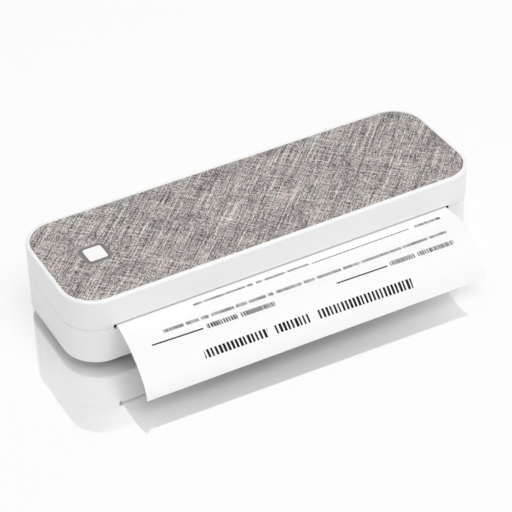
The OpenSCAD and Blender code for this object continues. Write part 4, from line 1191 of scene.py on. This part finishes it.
@dataclass
class Studio:
    """Floor, lamps, surroundings and the camera at the photograph's angle."""

    azimuth: float = -28.83
    elevation: float = 38.05
    roll: float = -0.79
    distance: float = 1.07074
    target: Point = (-0.00441, -0.01189, 0.01101)
    focal_px: float = 1892.24
    frame_px: float = 512.0
    sensor: float = 36.0
    floor_z: float = -0.0056
    floor_half: float = 3.0
    floor_colour: Colour = (0.98, 0.98, 0.98)
    casing_flat: tuple[float, float] = (0.1076, 0.0196)
    mirror_share: tuple[float, float] = (0.68, 0.568)
    mirror_fade: tuple[float, float] = (0.0484, 0.0884)
    white_share: float = 0.26
    mirror_blur: float = 0.045
    sky: float = 0.485
    lamps: tuple[tuple[Point, float, float], ...] = (
        ((0.25, -0.93, 2.6), 2.0, 43.0),
    )

    def build(self) -> None:
        """Makes everything round the printer."""
        self.camera()
        self.floor()
        self.world()
        for number, (place, size, power) in enumerate(self.lamps):
            self.lamp(f"soft_lamp_{number}", place, size, power)
        bpy.context.scene.view_settings.view_transform = "Standard"

    def camera(self) -> None:
        """Makes the camera and sets it on the scene."""
        a, e, r = (math.radians(v) for v in (self.azimuth, self.elevation, self.roll))
        back = Vector((math.sin(a) * math.cos(e), -math.cos(a) * math.cos(e), math.sin(e)))
        level = Vector((math.cos(a), math.sin(a), 0.0))
        upright = back.cross(level)
        right = math.cos(r) * level + math.sin(r) * upright
        up = -math.sin(r) * level + math.cos(r) * upright
        data = bpy.data.cameras.new("photo_camera")
        data.sensor_width = self.sensor
        data.lens = self.sensor * self.focal_px / self.frame_px
        data.clip_start, data.clip_end = 0.05, 50.0
        made = bpy.data.objects.new("photo_camera", data)
        bpy.context.scene.collection.objects.link(made)
        turn = Matrix((right, up, back)).transposed().to_4x4()
        made.matrix_world = Matrix.Translation(
            Vector(self.target) + back * self.distance) @ turn
        bpy.context.scene.camera = made

    def floor(self) -> None:
        """Makes the pale floor, whose mirror fades to white away from the casing."""
        build = bmesh.new()
        bmesh.ops.create_grid(build, x_segments=8, y_segments=8, size=self.floor_half)
        mesh = bpy.data.meshes.new("pale_floor")
        build.to_mesh(mesh)
        build.free()
        made = bpy.data.objects.new("pale_floor", mesh)
        made.location = (0.0, 0.0, self.floor_z)
        bpy.context.scene.collection.objects.link(made)
        paint = bpy.data.materials.new("pale_floor")
        paint.use_nodes = True
        tree = paint.node_tree
        tree.nodes.clear()
        graph = Graph(tree)
        matt = graph.node("BsdfDiffuse", {}, {"Color": self.floor_colour}).outputs[0]
        mirror = graph.node("BsdfGlossy", {}, {
            "Color": (1.0, 1.0, 1.0), "Roughness": self.mirror_blur})
        white = graph.node("Emission", {}, {"Color": (1.0, 1.0, 1.0), "Strength": 1.0})
        path = graph.node("LightPath").outputs
        away = graph.reach(graph.node("TexCoord").outputs["Object"], 0.0, self.casing_flat)
        low, high = self.mirror_fade
        away = graph.node("MapRange", {"interpolation_type": "SMOOTHSTEP"},
                          {0: away, 1: low, 2: high, 3: 0.0, 4: 1.0}).outputs[0]
        share = graph.blend(away, *self.mirror_share)
        first = graph.math("LESS_THAN", path["Diffuse Depth"], 0.5)
        share = graph.math("MULTIPLY", first, share)
        both = graph.node("MixShader", {}, {0: share, 1: matt, 2: mirror.outputs[0]}).outputs[0]
        faded = graph.math("MULTIPLY", path["Is Camera Ray"],
                           graph.math("MULTIPLY", away, self.white_share))
        shown = graph.node("MixShader", {}, {0: faded, 1: both, 2: white.outputs[0]})
        end = graph.node("OutputMaterial")
        tree.links.new(shown.outputs[0], end.inputs["Surface"])
        mesh.materials.append(paint)

    def world(self) -> None:
        """Makes white surroundings that light the printer at a plain level."""
        world = bpy.data.worlds.new("white_room")
        bpy.context.scene.world = world
        world.use_nodes = True
        tree = world.node_tree
        tree.nodes.clear()
        graph = Graph(tree)
        path = graph.node("LightPath").outputs
        seen = graph.math("MAXIMUM", path["Is Camera Ray"], path["Is Glossy Ray"])
        seen = graph.math("MAXIMUM", seen, path["Is Transmission Ray"])
        first = graph.math("LESS_THAN", path["Diffuse Depth"], 0.5)
        seen = graph.math("MULTIPLY", seen, first)
        strength = graph.math("ADD", self.sky, graph.math("MULTIPLY", seen, 1.0 - self.sky))
        light = graph.node("Background", {}, {"Color": (1.0, 1.0, 1.0), "Strength": strength})
        end = graph.node("OutputWorld")
        tree.links.new(light.outputs[0], end.inputs["Surface"])

    def lamp(self, name: str, place: Point, size: float, power: float) -> None:
        """Makes one soft square lamp that points at the printer."""
        data = bpy.data.lights.new(name, "AREA")
        data.shape, data.size, data.energy = "SQUARE", size, power
        made = bpy.data.objects.new(name, data)
        made.location = place
        made.rotation_euler = (-Vector(place)).to_track_quat("-Z", "Y").to_euler()
        bpy.context.scene.collection.objects.link(made)


def main() -> None:
    """Builds and dresses the printer, sub-assembly by sub-assembly."""
    logging.basicConfig(level=logging.INFO, format="%(name)s: %(message)s")
    Studio().build()
    Casing().dress()
    ClothTop().build()
    ButtonSet().dress()
    PrintedSheet().build()
    PaperStore().dress()
    Drive().dress()
    PrintHead().dress()
    Electrics().dress()


if __name__ == "__main__":
    main()
